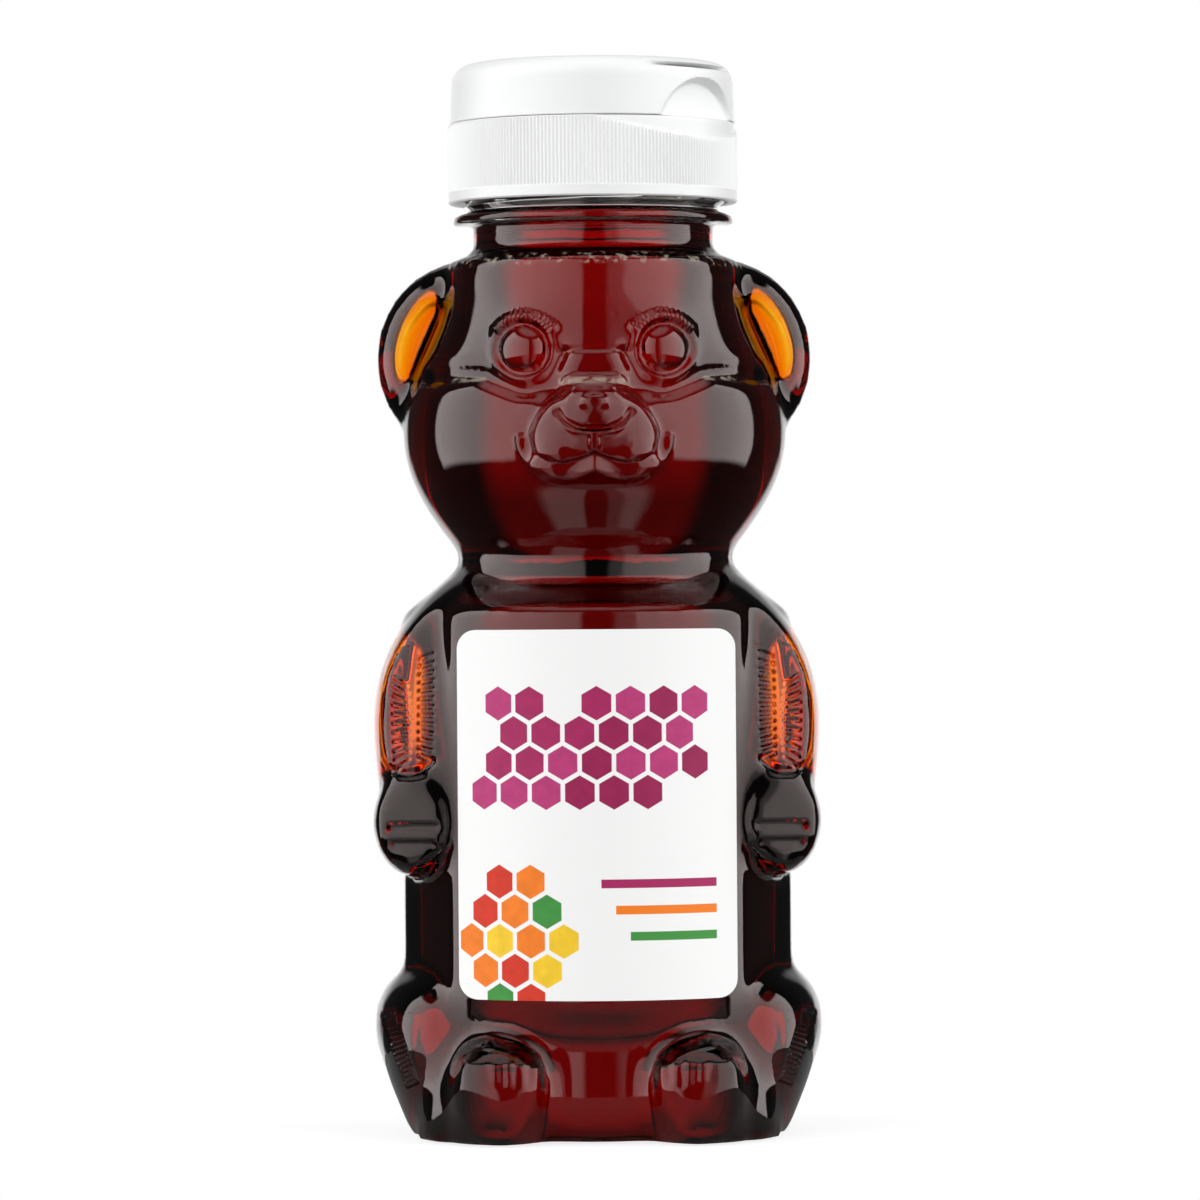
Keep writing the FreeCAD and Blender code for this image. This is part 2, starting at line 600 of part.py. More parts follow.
def half_tube(body, name, x, z, inner, outer, width):
    """A strip bent through half a turn about a level axis, open towards +X."""
    sketch = sketch_on(body, f"{name}_profile", "XZ_Plane")
    centre = FreeCAD.Vector(x.number, z.number, 0)
    for radius in (inner, outer):
        circle = Part.Circle(centre, Z_AXIS, radius.number)
        arc = sketch.addGeometry(Part.ArcOfCircle(circle, math.pi / 2, 3 * math.pi / 2))
        hold(sketch, arc, 3, x, z)
        row = sketch.addConstraint(Sketcher.Constraint("Radius", arc, radius.number))
        sketch.setExpression(f"Constraints[{row}]", radius.text)
    rise = FreeCAD.Vector(0, 1, 0)
    for end, side in ((1, 1), (2, -1)):
        near = centre + rise * (inner.number * side)
        far = centre + rise * (outer.number * side)
        line = sketch.addGeometry(Part.LineSegment(near, far))
        sketch.addConstraint(Sketcher.Constraint("Coincident", line, 1, 0, end))
        sketch.addConstraint(Sketcher.Constraint("Coincident", line, 2, 1, end))
        sketch.addConstraint(Sketcher.Constraint("Vertical", line))
    pad = body.newObject("PartDesign::Pad", name)
    pad.Profile = sketch
    pad.SideType = "Symmetric"
    return bind(pad, Length=width)


def block(body, kind, name, x, y, z, length, width, height):
    """A box feature; kind says whether it adds or subtracts."""
    box = body.newObject(f"PartDesign::{kind}Box", name)
    box.MapMode = "Deactivated"
    bind(box, Length=length, Width=width, Height=height)
    return place(box, x, y, z)


def new_body(name):
    return doc.addObject("PartDesign::Body", name)


def face_thumb(body):
    """Turn a cap piece, modelled with its thumb notch at +X, to where the notch points."""
    body.Placement = FreeCAD.Placement(ORIGIN, Z_AXIS, size("thumb_turn").number - QUARTER_TURN)
    body.setExpression("Placement.Rotation.Angle", f"{size('thumb_turn').text} - {QUARTER_TURN}")
    return body


# Heights that the neck, ring, cap and lid share
bead_foot = size("crown_top_height") + size("neck_length")
finish_foot = bead_foot + size("bead_root")
lip = finish_foot + size("finish_length")
deck_under = lip + size("ring_thickness")
seam = deck_under + size("deck_thickness")
skirt_foot = deck_under - size("skirt_drop")
spout_tip = seam + size("spout_rise")
lid_foot = seam + size("seam_gap")
lid_top = lid_foot + size("lid_height")
pad_face = size("skirt_radius") + size("hinge_pad_proud")
pad_width = size("strap_width") + size("hinge_pad_margin") * 2


def make_neck():
    """Neck, support bead and the plain cylinder that the thread stands on, a ring on the crown's flat."""
    neck = new_body("bottle_neck")
    turned(neck, "neck_turning", [
        (size("bore_radius"), size("crown_top_height")),
        (size("neck_radius"), size("crown_top_height")),
        (size("neck_radius"), bead_foot),
        (size("bead_radius"), bead_foot),
        (size("bead_radius"), bead_foot + size("bead_edge")),
        (size("finish_radius"), finish_foot),
        (size("finish_radius"), lip),
        (size("bore_radius"), lip),
    ])
    return neck


def make_bottle():
    """The blown shell up to the crown's flat: the bear, less the same form one wall smaller and the bore."""
    bore = cylinder("neck_bore", size("bore_radius"), size("crown_height"),
                    size("crown_top_height") - size("crown_height") + size("overrun"))
    inside = fuse("bottle_inside", [bear("inner", size("wall"), False), bore])
    return cut("bottle_shell", bear("outer", NONE, True), inside)


def make_honey():
    """Honey, a clearance smaller than the inside of the shell, filled into the neck."""
    inset = size("wall") + size("honey_gap")
    fill = bead_foot + size("fill_above_bead")
    throat = cylinder("honey_throat", size("bore_radius") - size("honey_gap"), size("crown_height"),
                      fill - size("crown_height"))
    return fuse("honey", [bear("honey", inset, False), throat])


def make_label():
    """A film with rounded corners, wrapped on the front of the label panel."""
    sleeves = []
    lifts = (("label_face", size("label_glue") + size("label_film")), ("label_back", size("label_glue")))
    for name, lift in lifts:
        outline = ellipse(f"{name}_outline", size("panel_half_width") + lift, size("panel_half_depth") + lift,
                          NONE, NONE, size("label_bottom"))
        sleeves.append(column(name, outline, size("label_length")))
    window = new_body("label_window")
    depth = size("panel_half_depth") + size("overrun")
    block(window, "Additive", "label_blank", -(size("label_width") * 0.5), -depth, size("label_bottom"),
          size("label_width"), depth, size("label_length"))
    doc.recompute()
    corners = window.newObject("PartDesign::Fillet", "label_corners")
    blank = window.getObject("label_blank")
    along = [f"Edge{number}" for number, edge in enumerate(blank.Shape.Edges, start=1)
             if abs(edge.tangentAt(edge.FirstParameter).dot(Y_AXIS)) > 0.5]
    corners.Base = (blank, along)
    bind(corners, Radius=size("label_corner"))
    return common("front_label", window, cut("label_sleeve", *sleeves))


def make_ring():
    """Soft sealing ring on the lip of the neck."""
    ring = new_body("cap_liner")
    outer = size("skirt_bore_radius") - size("ring_clearance")
    turned(ring, "ring_turning", [(size("ring_inner_radius"), lip), (outer, lip), (outer, deck_under),
                                  (size("ring_inner_radius"), deck_under)])
    return ring


def make_cap():
    """Skirt, deck and spout, a flat pad for the strap, and a smooth recess for the thumb in the skirt."""
    blank = face_thumb(new_body("cap_blank"))
    turned(blank, "cap_turning", [
        (size("skirt_bore_radius"), skirt_foot),
        (size("skirt_radius"), skirt_foot),
        (size("skirt_radius"), seam),
        (size("spout_radius"), seam),
        (size("spout_tip_radius"), spout_tip),
        (size("orifice_radius"), spout_tip),
        (size("orifice_radius"), deck_under),
        (size("skirt_bore_radius"), deck_under),
    ])
    block(blank, "Additive", "cap_hinge_pad", -pad_face, -(pad_width * 0.5), seam - size("hinge_pad_rise"),
          size("hinge_pad_depth"), pad_width, size("hinge_pad_rise"))
    recess = face_thumb(new_body("thumb_recess"))
    inner = size("skirt_radius") - size("thumb_depth")
    outer = size("skirt_radius") + size("overrun")
    turned(recess, "recess_turning", [(inner, skirt_foot), (outer, skirt_foot), (outer, seam + size("overrun")),
                                      (inner, seam + size("overrun"))])
    reach = outer * 2
    keep = recess.newObject("PartDesign::SubtractiveBox", "recess_lower_edge")
    keep.MapMode = "Deactivated"
    bind(keep, Length=reach * 2, Width=reach * 2, Height=reach)
    tilt = FreeCAD.Rotation(Y_AXIS, size("thumb_tilt").number)
    corner = tilt.multVec(FreeCAD.Vector(-reach.number, -reach.number, -reach.number))
    keep.Placement = FreeCAD.Placement(
        corner + FreeCAD.Vector(size("thumb_start").number, 0, seam.number), tilt)
    return cut("cap_base", blank, recess)


def make_strap():
    """The moulded strap, folded outwards while the lid is shut."""
    strap = face_thumb(new_body("hinge_strap"))
    half_tube(strap, "strap_bend", -pad_face, seam + size("seam_gap") * 0.5, size("strap_bend_radius"),
              size("strap_bend_radius") + size("strap_thickness"), size("strap_width"))
    return strap


def make_lid():
    """A shallow cup with a rounded top edge, a thumb notch opposite the strap and a plug for the spout."""
    lid = face_thumb(new_body("cap_lid"))
    top_radius = size("lid_radius") - size("lid_draft")
    blank = turned(lid, "lid_turning", [(NONE, lid_foot), (size("lid_radius"), lid_foot), (top_radius, lid_top),
                                        (NONE, lid_top)])
    doc.recompute()
    rim = [f"Edge{number}" for number, edge in enumerate(blank.Shape.Edges, start=1)
           if edge.isClosed() and edge.CenterOfMass.z > lid_foot.number + size("lid_height").number / 2]
    rounding = lid.newObject("PartDesign::Fillet", "lid_rounding")
    rounding.Base = (blank, rim)
    bind(rounding, Radius=size("lid_edge_round"))
    block(lid, "Additive", "lid_hinge_pad", -pad_face, -(pad_width * 0.5), lid_foot,
          pad_face - size("lid_radius") + size("hinge_pad_depth"), pad_width, size("hinge_pad_rise"))

    hollow = sketch_on(lid, "lid_hollow_outline", "XY_Plane", lid_foot)
    radius = size("lid_radius") - size("lid_wall")
    chord = size("lid_radius") - size("notch_depth") - size("lid_wall")
    half_angle = math.acos(chord.number / radius.number)
    circle = Part.Circle(ORIGIN, Z_AXIS, radius.number)
    arc = hollow.addGeometry(Part.ArcOfCircle(circle, half_angle, 2 * math.pi - half_angle))
    ends = [hollow.Geometry[arc].EndPoint, hollow.Geometry[arc].StartPoint]
    line = hollow.addGeometry(Part.LineSegment(*ends))
    hollow.addConstraint(Sketcher.Constraint("Coincident", arc, 3, -1, 1))
    hollow.addConstraint(Sketcher.Constraint("Coincident", line, 1, arc, 2))
    hollow.addConstraint(Sketcher.Constraint("Coincident", line, 2, arc, 1))
    hollow.addConstraint(Sketcher.Constraint("Vertical", line))
    row = hollow.addConstraint(Sketcher.Constraint("Radius", arc, radius.number))
    hollow.setExpression(f"Constraints[{row}]", radius.text)
    row = hollow.addConstraint(Sketcher.Constraint("DistanceX", -1, 1, line, 1, chord.number))
    hollow.setExpression(f"Constraints[{row}]", chord.text)
    pocket = lid.newObject("PartDesign::Pocket", "lid_hollow")
    pocket.Profile = hollow
    pocket.Reversed = True
    bind(pocket, Length=size("lid_height") - size("lid_wall"))

    plug = lid.newObject("PartDesign::AdditiveCone", "lid_plug")
    plug.MapMode = "Deactivated"
    plug_tip = spout_tip - size("plug_depth")
    bind(plug, Radius1=size("plug_tip_radius"), Radius2=size("plug_radius"),
         Height=lid_top - size("lid_wall") - plug_tip)
    place(plug, z=plug_tip)

    notch = lid.newObject("PartDesign::SubtractiveCylinder", "thumb_notch")
    notch.MapMode = "Deactivated"
    bind(notch, Radius=size("notch_radius"), Height=size("notch_depth") + size("overrun"))
    place(notch, size("lid_radius") - size("notch_depth"), NONE,
          lid_foot + size("notch_rise") - size("notch_radius"), FreeCAD.Rotation(Y_AXIS, QUARTER_TURN))
    return lid


nodes = [make_bottle(), make_neck(), make_honey(), make_label(), make_ring(), make_cap(), make_strap(),
         make_lid()]
doc.recompute()

for thing in doc.Objects:
    if "Invalid" in thing.State or "Error" in thing.State:
        raise RuntimeError(f"{thing.Name} did not build: {thing.State}")
for node in nodes:
    node.Label = node.Name
    if node.Shape.isNull() or not node.Shape.isValid() or not node.Shape.Solids:
        raise RuntimeError(f"{node.Label} has no valid solid")

os.makedirs("parts", exist_ok=True)
for node in nodes:
    node.Shape.exportStep(f"parts/{node.Label}.step")
    print(f"{node.Label}: {len(node.Shape.Solids)} solid, {node.Shape.Volume:.0f} mm3")
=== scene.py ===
import math
import bpy
import numpy as np
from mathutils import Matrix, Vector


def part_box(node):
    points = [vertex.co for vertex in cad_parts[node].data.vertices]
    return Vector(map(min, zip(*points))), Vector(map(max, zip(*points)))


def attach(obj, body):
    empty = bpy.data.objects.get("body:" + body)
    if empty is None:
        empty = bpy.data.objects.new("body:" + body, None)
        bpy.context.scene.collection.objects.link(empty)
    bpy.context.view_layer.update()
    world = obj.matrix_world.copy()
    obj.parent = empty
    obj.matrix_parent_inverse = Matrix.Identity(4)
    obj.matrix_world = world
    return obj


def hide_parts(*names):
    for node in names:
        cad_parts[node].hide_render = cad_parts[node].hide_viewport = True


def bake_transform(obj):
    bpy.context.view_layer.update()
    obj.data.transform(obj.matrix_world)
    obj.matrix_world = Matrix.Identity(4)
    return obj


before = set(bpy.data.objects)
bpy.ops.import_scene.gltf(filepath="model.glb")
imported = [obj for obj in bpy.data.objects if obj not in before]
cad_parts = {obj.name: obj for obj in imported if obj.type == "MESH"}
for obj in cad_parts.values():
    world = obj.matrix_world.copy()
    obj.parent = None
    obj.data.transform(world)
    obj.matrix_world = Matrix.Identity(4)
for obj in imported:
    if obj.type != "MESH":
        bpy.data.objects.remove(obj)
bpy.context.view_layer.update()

# Studio: a round of pale floor in a white room, two tall soft boxes beside the lens, and dark sides.
# The boxes and a white card on the table give the clear plastic its long grey reflections,
# and the white wall behind lights the honey through.
SOFT_BOX_LEVEL = 3.0
CARD_LEVEL = 0.65
WALL_LEVEL = 1.2
OVERHEAD_LEVEL = 0.9
FLAG_LEVEL = 0.04
# soft edges as turns round from the lens and lifts above the horizon, in degrees
LEFT_BOX_EDGE = (6.5, 10.5)
RIGHT_BOX_NEAR_EDGE = (8.0, 13.0)
RIGHT_BOX_FAR_EDGE = (19.0, 26.0)
RIGHT_BOX_NEAR_SHARE = 0.4
BOX_BRIGHTENING = (10.0, 100.0)
BOX_LEAST_SHARE = 0.36
BOX_OUTER_EDGE = (105.0, 108.0)
BOX_LIFTS = (-16.0, 52.0)
BOX_SOFTNESS = 4.0
CARD_OUTER_EDGE = (34.0, 46.0)
CARD_LIFTS = (-64.0, -16.0)
WALL_EDGE = (148.0, 158.0)
WALL_LIFTS = (-40.0, 48.0)
WALL_SOFTNESS = 10.0
WALL_SHADING = (6.0, 18.0)
WALL_LEAST_SHARE = 0.35
OVERHEAD_EDGE = (58.0, 72.0)
FLOOR_RADIUS = 0.075
FLOOR_DROP = 0.0002
FLOOR_GREY = 0.3
FLOOR_GLOW = 0.8


def wire(tree, kind, *inputs, **settings):
    """Add a node, feed its first inputs with sockets or plain values, and give back its first output."""
    node = tree.nodes.new(kind)
    for name, value in settings.items():
        setattr(node, name, value)
    for socket, value in zip(node.inputs, inputs):
        if isinstance(value, bpy.types.NodeSocket):
            tree.links.new(value, socket)
        elif value is not None:
            socket.default_value = value
    return node.outputs[0]


def maths(tree, operation, *inputs):
    return wire(tree, "ShaderNodeMath", *inputs, operation=operation)


def rise(tree, value, start, end):
    """0 below start, 1 above end, with a soft step between."""
    return wire(tree, "ShaderNodeMapRange", value, start, end, 0.0, 1.0, interpolation_type="SMOOTHSTEP")


def band(tree, value, start, end, soft):
    """1 between start and end, with soft edges."""
    opens = rise(tree, value, start - soft / 2, start + soft / 2)
    closes = rise(tree, value, end - soft / 2, end + soft / 2)
    return maths(tree, "SUBTRACT", opens, closes)


def studio_world():
    """White to the camera, and to other rays the boxes, card, wall and overhead light by direction."""
    room = bpy.data.worlds.new("white_studio")
    bpy.context.scene.world = room
    room.use_nodes = True
    tree = room.node_tree
    tree.nodes.clear()
    direction = tree.nodes.new("ShaderNodeTexCoord").outputs["Generated"]
    parts = tree.nodes.new("ShaderNodeSeparateXYZ")
    tree.links.new(direction, parts.inputs[0])
    aside = maths(tree, "ABSOLUTE", parts.outputs["X"])
    ahead = maths(tree, "MULTIPLY", parts.outputs["Y"], -1.0)
    turn = maths(tree, "DEGREES", maths(tree, "ARCTAN2", aside, ahead))
    lift = maths(tree, "DEGREES", maths(tree, "ARCSINE", parts.outputs["Z"]))
    left_edge = rise(tree, turn, *LEFT_BOX_EDGE)
    near_edge = maths(tree, "MULTIPLY", rise(tree, turn, *RIGHT_BOX_NEAR_EDGE), RIGHT_BOX_NEAR_SHARE)
    far_edge = rise(tree, turn, *RIGHT_BOX_FAR_EDGE)
    right_edge = maths(tree, "MULTIPLY_ADD", far_edge, 1 - RIGHT_BOX_NEAR_SHARE, near_edge)
    on_right = maths(tree, "GREATER_THAN", parts.outputs["X"], 0.0)
    inner_edge = wire(tree, "ShaderNodeMix", on_right, None, left_edge, right_edge, data_type="FLOAT")
    brightening = wire(tree, "ShaderNodeMapRange", turn, *BOX_BRIGHTENING, BOX_LEAST_SHARE, 1.0)
    box_sides = maths(tree, "SUBTRACT", inner_edge, rise(tree, turn, *BOX_OUTER_EDGE))
    box_ends = band(tree, lift, *BOX_LIFTS, BOX_SOFTNESS)
    boxes = maths(tree, "MULTIPLY", maths(tree, "MULTIPLY", box_sides, brightening), box_ends)
    card_sides = maths(tree, "SUBTRACT", inner_edge, rise(tree, turn, *CARD_OUTER_EDGE))
    card = maths(tree, "MULTIPLY", card_sides, band(tree, lift, *CARD_LIFTS, BOX_SOFTNESS))
    wall_ends = band(tree, lift, *WALL_LIFTS, WALL_SOFTNESS)
    wall_area = maths(tree, "MULTIPLY", rise(tree, turn, *WALL_EDGE), wall_ends)
    shading = wire(tree, "ShaderNodeMapRange", lift, *WALL_SHADING, 1.0, WALL_LEAST_SHARE)
    wall = maths(tree, "MULTIPLY", wall_area, shading)
    overhead = rise(tree, lift, *OVERHEAD_EDGE)
    light = maths(tree, "MULTIPLY_ADD", boxes, SOFT_BOX_LEVEL, FLAG_LEVEL)
    light = maths(tree, "MULTIPLY_ADD", card, CARD_LEVEL, light)
    light = maths(tree, "MULTIPLY_ADD", wall, WALL_LEVEL, light)
    light = maths(tree, "MULTIPLY_ADD", overhead, OVERHEAD_LEVEL, light)
    path = tree.nodes.new("ShaderNodeLightPath")
    level = wire(tree, "ShaderNodeMix", path.outputs["Is Camera Ray"], None, light, 1.0, data_type="FLOAT")
    shade = tree.nodes.new("ShaderNodeBackground")
    shade.inputs["Color"].default_value = (1.0, 1.0, 1.0, 1.0)
    tree.links.new(level, shade.inputs["Strength"])
    tree.links.new(shade.outputs[0], tree.nodes.new("ShaderNodeOutputWorld").inputs["Surface"])


def floor_material():
    """A grey floor that glows for the camera alone, so that it looks nearly white."""
    paint = bpy.data.materials.new("pale_floor")
    paint.use_nodes = True
    tree = paint.node_tree
    tree.nodes.clear()
    diffuse = wire(tree, "ShaderNodeBsdfDiffuse", (FLOOR_GREY, FLOOR_GREY, FLOOR_GREY, 1.0))
    path = tree.nodes.new("ShaderNodeLightPath")
    to_camera = maths(tree, "MULTIPLY", path.outputs["Is Camera Ray"], FLOOR_GLOW)
    glow = wire(tree, "ShaderNodeEmission", None, to_camera)
    both = wire(tree, "ShaderNodeAddShader", diffuse, glow)
    tree.links.new(both, tree.nodes.new("ShaderNodeOutputMaterial").inputs["Surface"])
    return paint


def only(piece):
    """Make one object the only selected and active one."""
    bpy.ops.object.select_all(action="DESELECT")
    piece.select_set(True)
    bpy.context.view_layer.objects.active = piece


bpy.ops.object.select_all(action="DESELECT")
studio_world()
bpy.ops.mesh.primitive_circle_add(vertices=96, radius=FLOOR_RADIUS, fill_type="NGON",
                                  location=(0, 0, -FLOOR_DROP))
floor = bpy.context.object
floor.name = "floor"
floor.data.materials.append(floor_material())

LAMP_WATTS = 1.0
LAMP_PLACE = (0.0, -1.1, 0.42)
LAMP_TILT = math.radians(70)
LAMP_SIZE = 0.9
bpy.ops.object.light_add(type="AREA", location=LAMP_PLACE, rotation=(LAMP_TILT, 0, 0))
front_lamp = bpy.context.object
front_lamp.data.size = LAMP_SIZE
front_lamp.data.energy = LAMP_WATTS
front_lamp.visible_glossy = False
front_lamp.visible_transmission = False

CAMERA_DISTANCE = 0.9
CAMERA_HEIGHT = 0.0746
CAMERA_ASIDE = 0.0006
CAMERA_ROLL = math.radians(0.42)
FRAME_WIDTH = 0.169
SENSOR = 36.0
bpy.ops.object.camera_add(location=(CAMERA_ASIDE, -CAMERA_DISTANCE, CAMERA_HEIGHT),
                          rotation=(math.radians(90), CAMERA_ROLL, 0))
camera = bpy.context.object
camera.data.sensor_width = SENSOR
camera.data.lens = SENSOR * CAMERA_DISTANCE / FRAME_WIDTH
bpy.context.scene.camera = camera
bpy.context.scene.view_settings.view_transform = "Standard"

# Bottle: a bear blown in one piece from clear polyester, with moulded face, fur, paws and toes.
# It is open at the neck, whose bead and thread carry the cap. The skin follows the solid,
# its creases are rounded as on blown plastic, and the fine carving is pressed into it.
MM = 0.001
NECK_CUT = 125.6 * MM
CROWN_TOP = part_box("bottle_neck")[0][2]
NECK_RADIUS = 16.9 * MM
SKIN_VOXEL = 1.0 * MM
INNER_VOXEL = 1.6 * MM
WALL = 0.7 * MM
PET_IOR = 1.57
# in mm, as all sizes below without the unit
COLLAR_FOOT = 77.4
COLLAR_RADIUS = 19.2
COLLAR_SPREAD = 1.9
FRONT_REACH = 3.0
FINISH_RADIUS = 17.6
BORE_RADIUS = 15.4
BETWEEN_WALLS = 16.55
THREAD_PITCH = 4.2333
THREAD_START = 131.0


def select_faces(piece, chosen):
    """Select faces of a mesh by a list of yes and no."""
    piece.data.polygons.foreach_set("select", np.asarray(chosen, dtype=bool))
    piece.data.update()


def corners(piece):
    """Vertex places as rows of x, y, z."""
    places = np.empty(len(piece.data.vertices) * 3)
    piece.data.vertices.foreach_get("co", places)
    return places.reshape(-1, 3)


def move_corners(piece, places):
    piece.data.vertices.foreach_set("co", np.asarray(places).ravel())
    piece.data.update()


def face_values(piece, name):
    """A value of each face, such as its centre or normal, as rows of x, y, z."""
    values = np.empty(len(piece.data.polygons) * 3)
    piece.data.polygons.foreach_get(name, values)
    return values.reshape(-1, 3)


def corner_normals(piece):
    normals = np.empty(len(piece.data.vertices) * 3)
    piece.data.vertex_normals.foreach_get("vector", normals)
    return normals.reshape(-1, 3)


def apply(piece, kind, **settings):
    """Add a modifier and apply it."""
    only(piece)
    modifier = piece.modifiers.new(kind.lower(), kind)
    for name, value in settings.items():
        setattr(modifier, name, value)
    bpy.ops.object.modifier_apply(modifier=modifier.name)


def new_piece(name, mesh):
    """Put a mesh into the scene as an object."""
    piece = bpy.data.objects.new(name, mesh)
    bpy.context.scene.collection.objects.link(piece)
    return piece


def edit_all(piece, tool, **settings):
    """Run one mesh tool on the whole of a piece."""
    only(piece)
    bpy.ops.object.mode_set(mode="EDIT")
    bpy.ops.mesh.select_all(action="SELECT")
    tool(**settings)
    bpy.ops.object.mode_set(mode="OBJECT")


def slice_off(piece, height):
    """Cut away what is above a height and leave the cut open."""
    edit_all(piece, bpy.ops.mesh.bisect, plane_co=(0, 0, height), plane_no=(0, 0, 1), clear_outer=True)


def node_copy(node, name):
    """A copy of a CAD node's mesh with its shared corners merged."""
    piece = new_piece(name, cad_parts[node].data.copy())
    piece.data.materials.clear()
    edit_all(piece, bpy.ops.mesh.remove_doubles, threshold=0.002 * MM)
    return piece


def join(first, second):
    only(first)
    second.select_set(True)
    bpy.ops.object.join()


def block(side, reach, half_width, half_depth, height, power):
    """Two rounded blocks that stand left and right and lean forward, squarer at a higher power."""
    for hand in (-1, 1):
        bpy.ops.mesh.primitive_uv_sphere_add(segments=64, ring_count=48, radius=1.0)
        form = bpy.context.object
        places = corners(form)
        places /= (np.abs(places) ** power).sum(axis=1, keepdims=True) ** (1 / power)
        places = places * (half_width, half_depth, height) + (hand * side, reach, 0.0)
        places[:, 2] = np.maximum(places[:, 2], 0.0)
        places[:, 1] += 0.2 * (0.5 * height - places[:, 2])
        move_corners(form, places * MM)
        yield form


def straighten_collar(skin):
    """Draw the front of the collar in to an upright band that spreads to the shoulder below its foot."""
    places = corners(skin) / MM
    radius = np.hypot(places[:, 0], places[:, 1])
    limit = COLLAR_RADIUS + np.maximum(COLLAR_FOOT - places[:, 2], 0.0) * COLLAR_SPREAD
    front = (places[:, 1] < 0) & (places[:, 2] > COLLAR_FOOT - 4.2) & (places[:, 2] < COLLAR_FOOT + 4.4)
    share = np.where(front & (radius > limit), np.clip((17.5 - np.abs(places[:, 0])) / 2.5, 0.0, 1.0), 0.0)
    places[:, :2] *= (1 + share * (limit / radius - 1))[:, None]
    move_corners(skin, places * MM)


def outer_skin():
    """The outside of the bottle below the neck, closed at the cut and remeshed with rounded creases."""
    skin = node_copy("bottle_shell", "bottle")
    slice_off(skin, CROWN_TOP - 0.3 * MM)
    edit_all(skin, bpy.ops.mesh.separate, type="LOOSE")
    sheets = sorted(bpy.context.selected_objects, key=lambda sheet: sheet.dimensions.x, reverse=True)
    for sheet in sheets[1:]:
        bpy.data.objects.remove(sheet)
    skin = sheets[0]
    edit_all(skin, bpy.ops.mesh.fill_holes, sides=0)
    stopper = spin_outline("stopper", [(0.0, CROWN_TOP - 1.2 * MM), (NECK_RADIUS, CROWN_TOP - 1.2 * MM),
                                       (NECK_RADIUS, NECK_CUT + 2.5 * MM), (0.0, NECK_CUT + 2.5 * MM)], 96)
    soles = block(14.1, -16.2, 7.2, 10.4, 15.3, 3.0)
    heels = block(20.0, -12.5, 5.4, 9.5, 13.0, 2.1)
    for form in [stopper, *soles, *heels]:
        join(skin, form)
    apply(skin, "REMESH", mode="VOXEL", voxel_size=SKIN_VOXEL, use_smooth_shade=True)
    straighten_collar(skin)
    apply(skin, "SMOOTH", factor=0.5, iterations=6)
    places = corners(skin)
    places[:, 2] = np.maximum(places[:, 2], 0.0)
    move_corners(skin, places)
    return skin


def refine(skin, zones):
    """Divide the front's faces in boxes of (from side, to side, from height, to height, rounds)."""
    for rounds in (1, 2):
        centres = face_values(skin, "center") / MM
        side = np.abs(centres[:, 0])
        height = centres[:, 2]
        front = (centres[:, 1] < -FRONT_REACH) & (face_values(skin, "normal")[:, 1] < -0.1)
        chosen = np.zeros(len(side), dtype=bool)
        for low_side, high_side, low, high, wanted in zones:
            inside = (side > low_side) & (side < high_side) & (height > low) & (height < high)
            chosen |= inside & front & (wanted >= rounds)
        only(skin)
        bpy.ops.object.mode_set(mode="EDIT")
        bpy.ops.mesh.select_mode(type="FACE")
        bpy.ops.mesh.select_all(action="DESELECT")
        bpy.ops.object.mode_set(mode="OBJECT")
        select_faces(skin, chosen)
        bpy.ops.object.mode_set(mode="EDIT")
        bpy.ops.mesh.subdivide(number_cuts=1, smoothness=0.6)
        bpy.ops.object.mode_set(mode="OBJECT")


def soften(skin, low_side, high_side, low, high, rounds):
    """Smooth the front of the skin once more inside a box of sides and heights."""
    places = corners(skin) / MM
    side = np.abs(places[:, 0])
    chosen = (side > low_side) & (side < high_side) & (places[:, 1] < -FRONT_REACH)
    chosen &= (places[:, 2] > low) & (places[:, 2] < high)
    zone = skin.vertex_groups.new()
    zone.add(np.flatnonzero(chosen).tolist(), 1.0, "REPLACE")
    apply(skin, "SMOOTH", factor=0.5, iterations=rounds, vertex_group=zone.name)


def smooth_line(points, steps=10):
    """Places along a rounded line through given points."""
    points = np.asarray(points, dtype=float)
    ends = np.vstack([2 * points[0] - points[1], points, 2 * points[-1] - points[-2]])
    line = []
    for before, start, end, after in zip(ends, ends[1:], ends[2:], ends[3:]):
        for share in np.arange(steps) / steps:
            line.append(0.5 * (2 * start + (end - before) * share
                               + (2 * before - 5 * start + 4 * end - after) * share ** 2
                               + (3 * start - before - 3 * end + after) * share ** 3))
    return np.vstack(line + [points[-1]])


def off_line(line, across, up):
    """Distance of each place from a line, and how far along the line its nearest point is."""
    least = np.full(len(across), 1e9)
    along = np.zeros(len(across))
    passed = 0.0
    for start, end in zip(line, line[1:]):
        step = end - start
        length = float(np.hypot(*step))
        share = np.clip(((across - start[0]) * step[0] + (up - start[1]) * step[1]) / length ** 2, 0.0, 1.0)
        gap = np.hypot(across - start[0] - share * step[0], up - start[1] - share * step[1])
        nearer = gap < least
        least[nearer] = gap[nearer]
        along[nearer] = passed + share[nearer] * length
        passed += length
    return least, along


def roll(gap, half_width):
    """A round-topped profile: 1 on the line, falling to 0 at about twice the half width."""
    return np.exp(-(gap / half_width) ** 2)


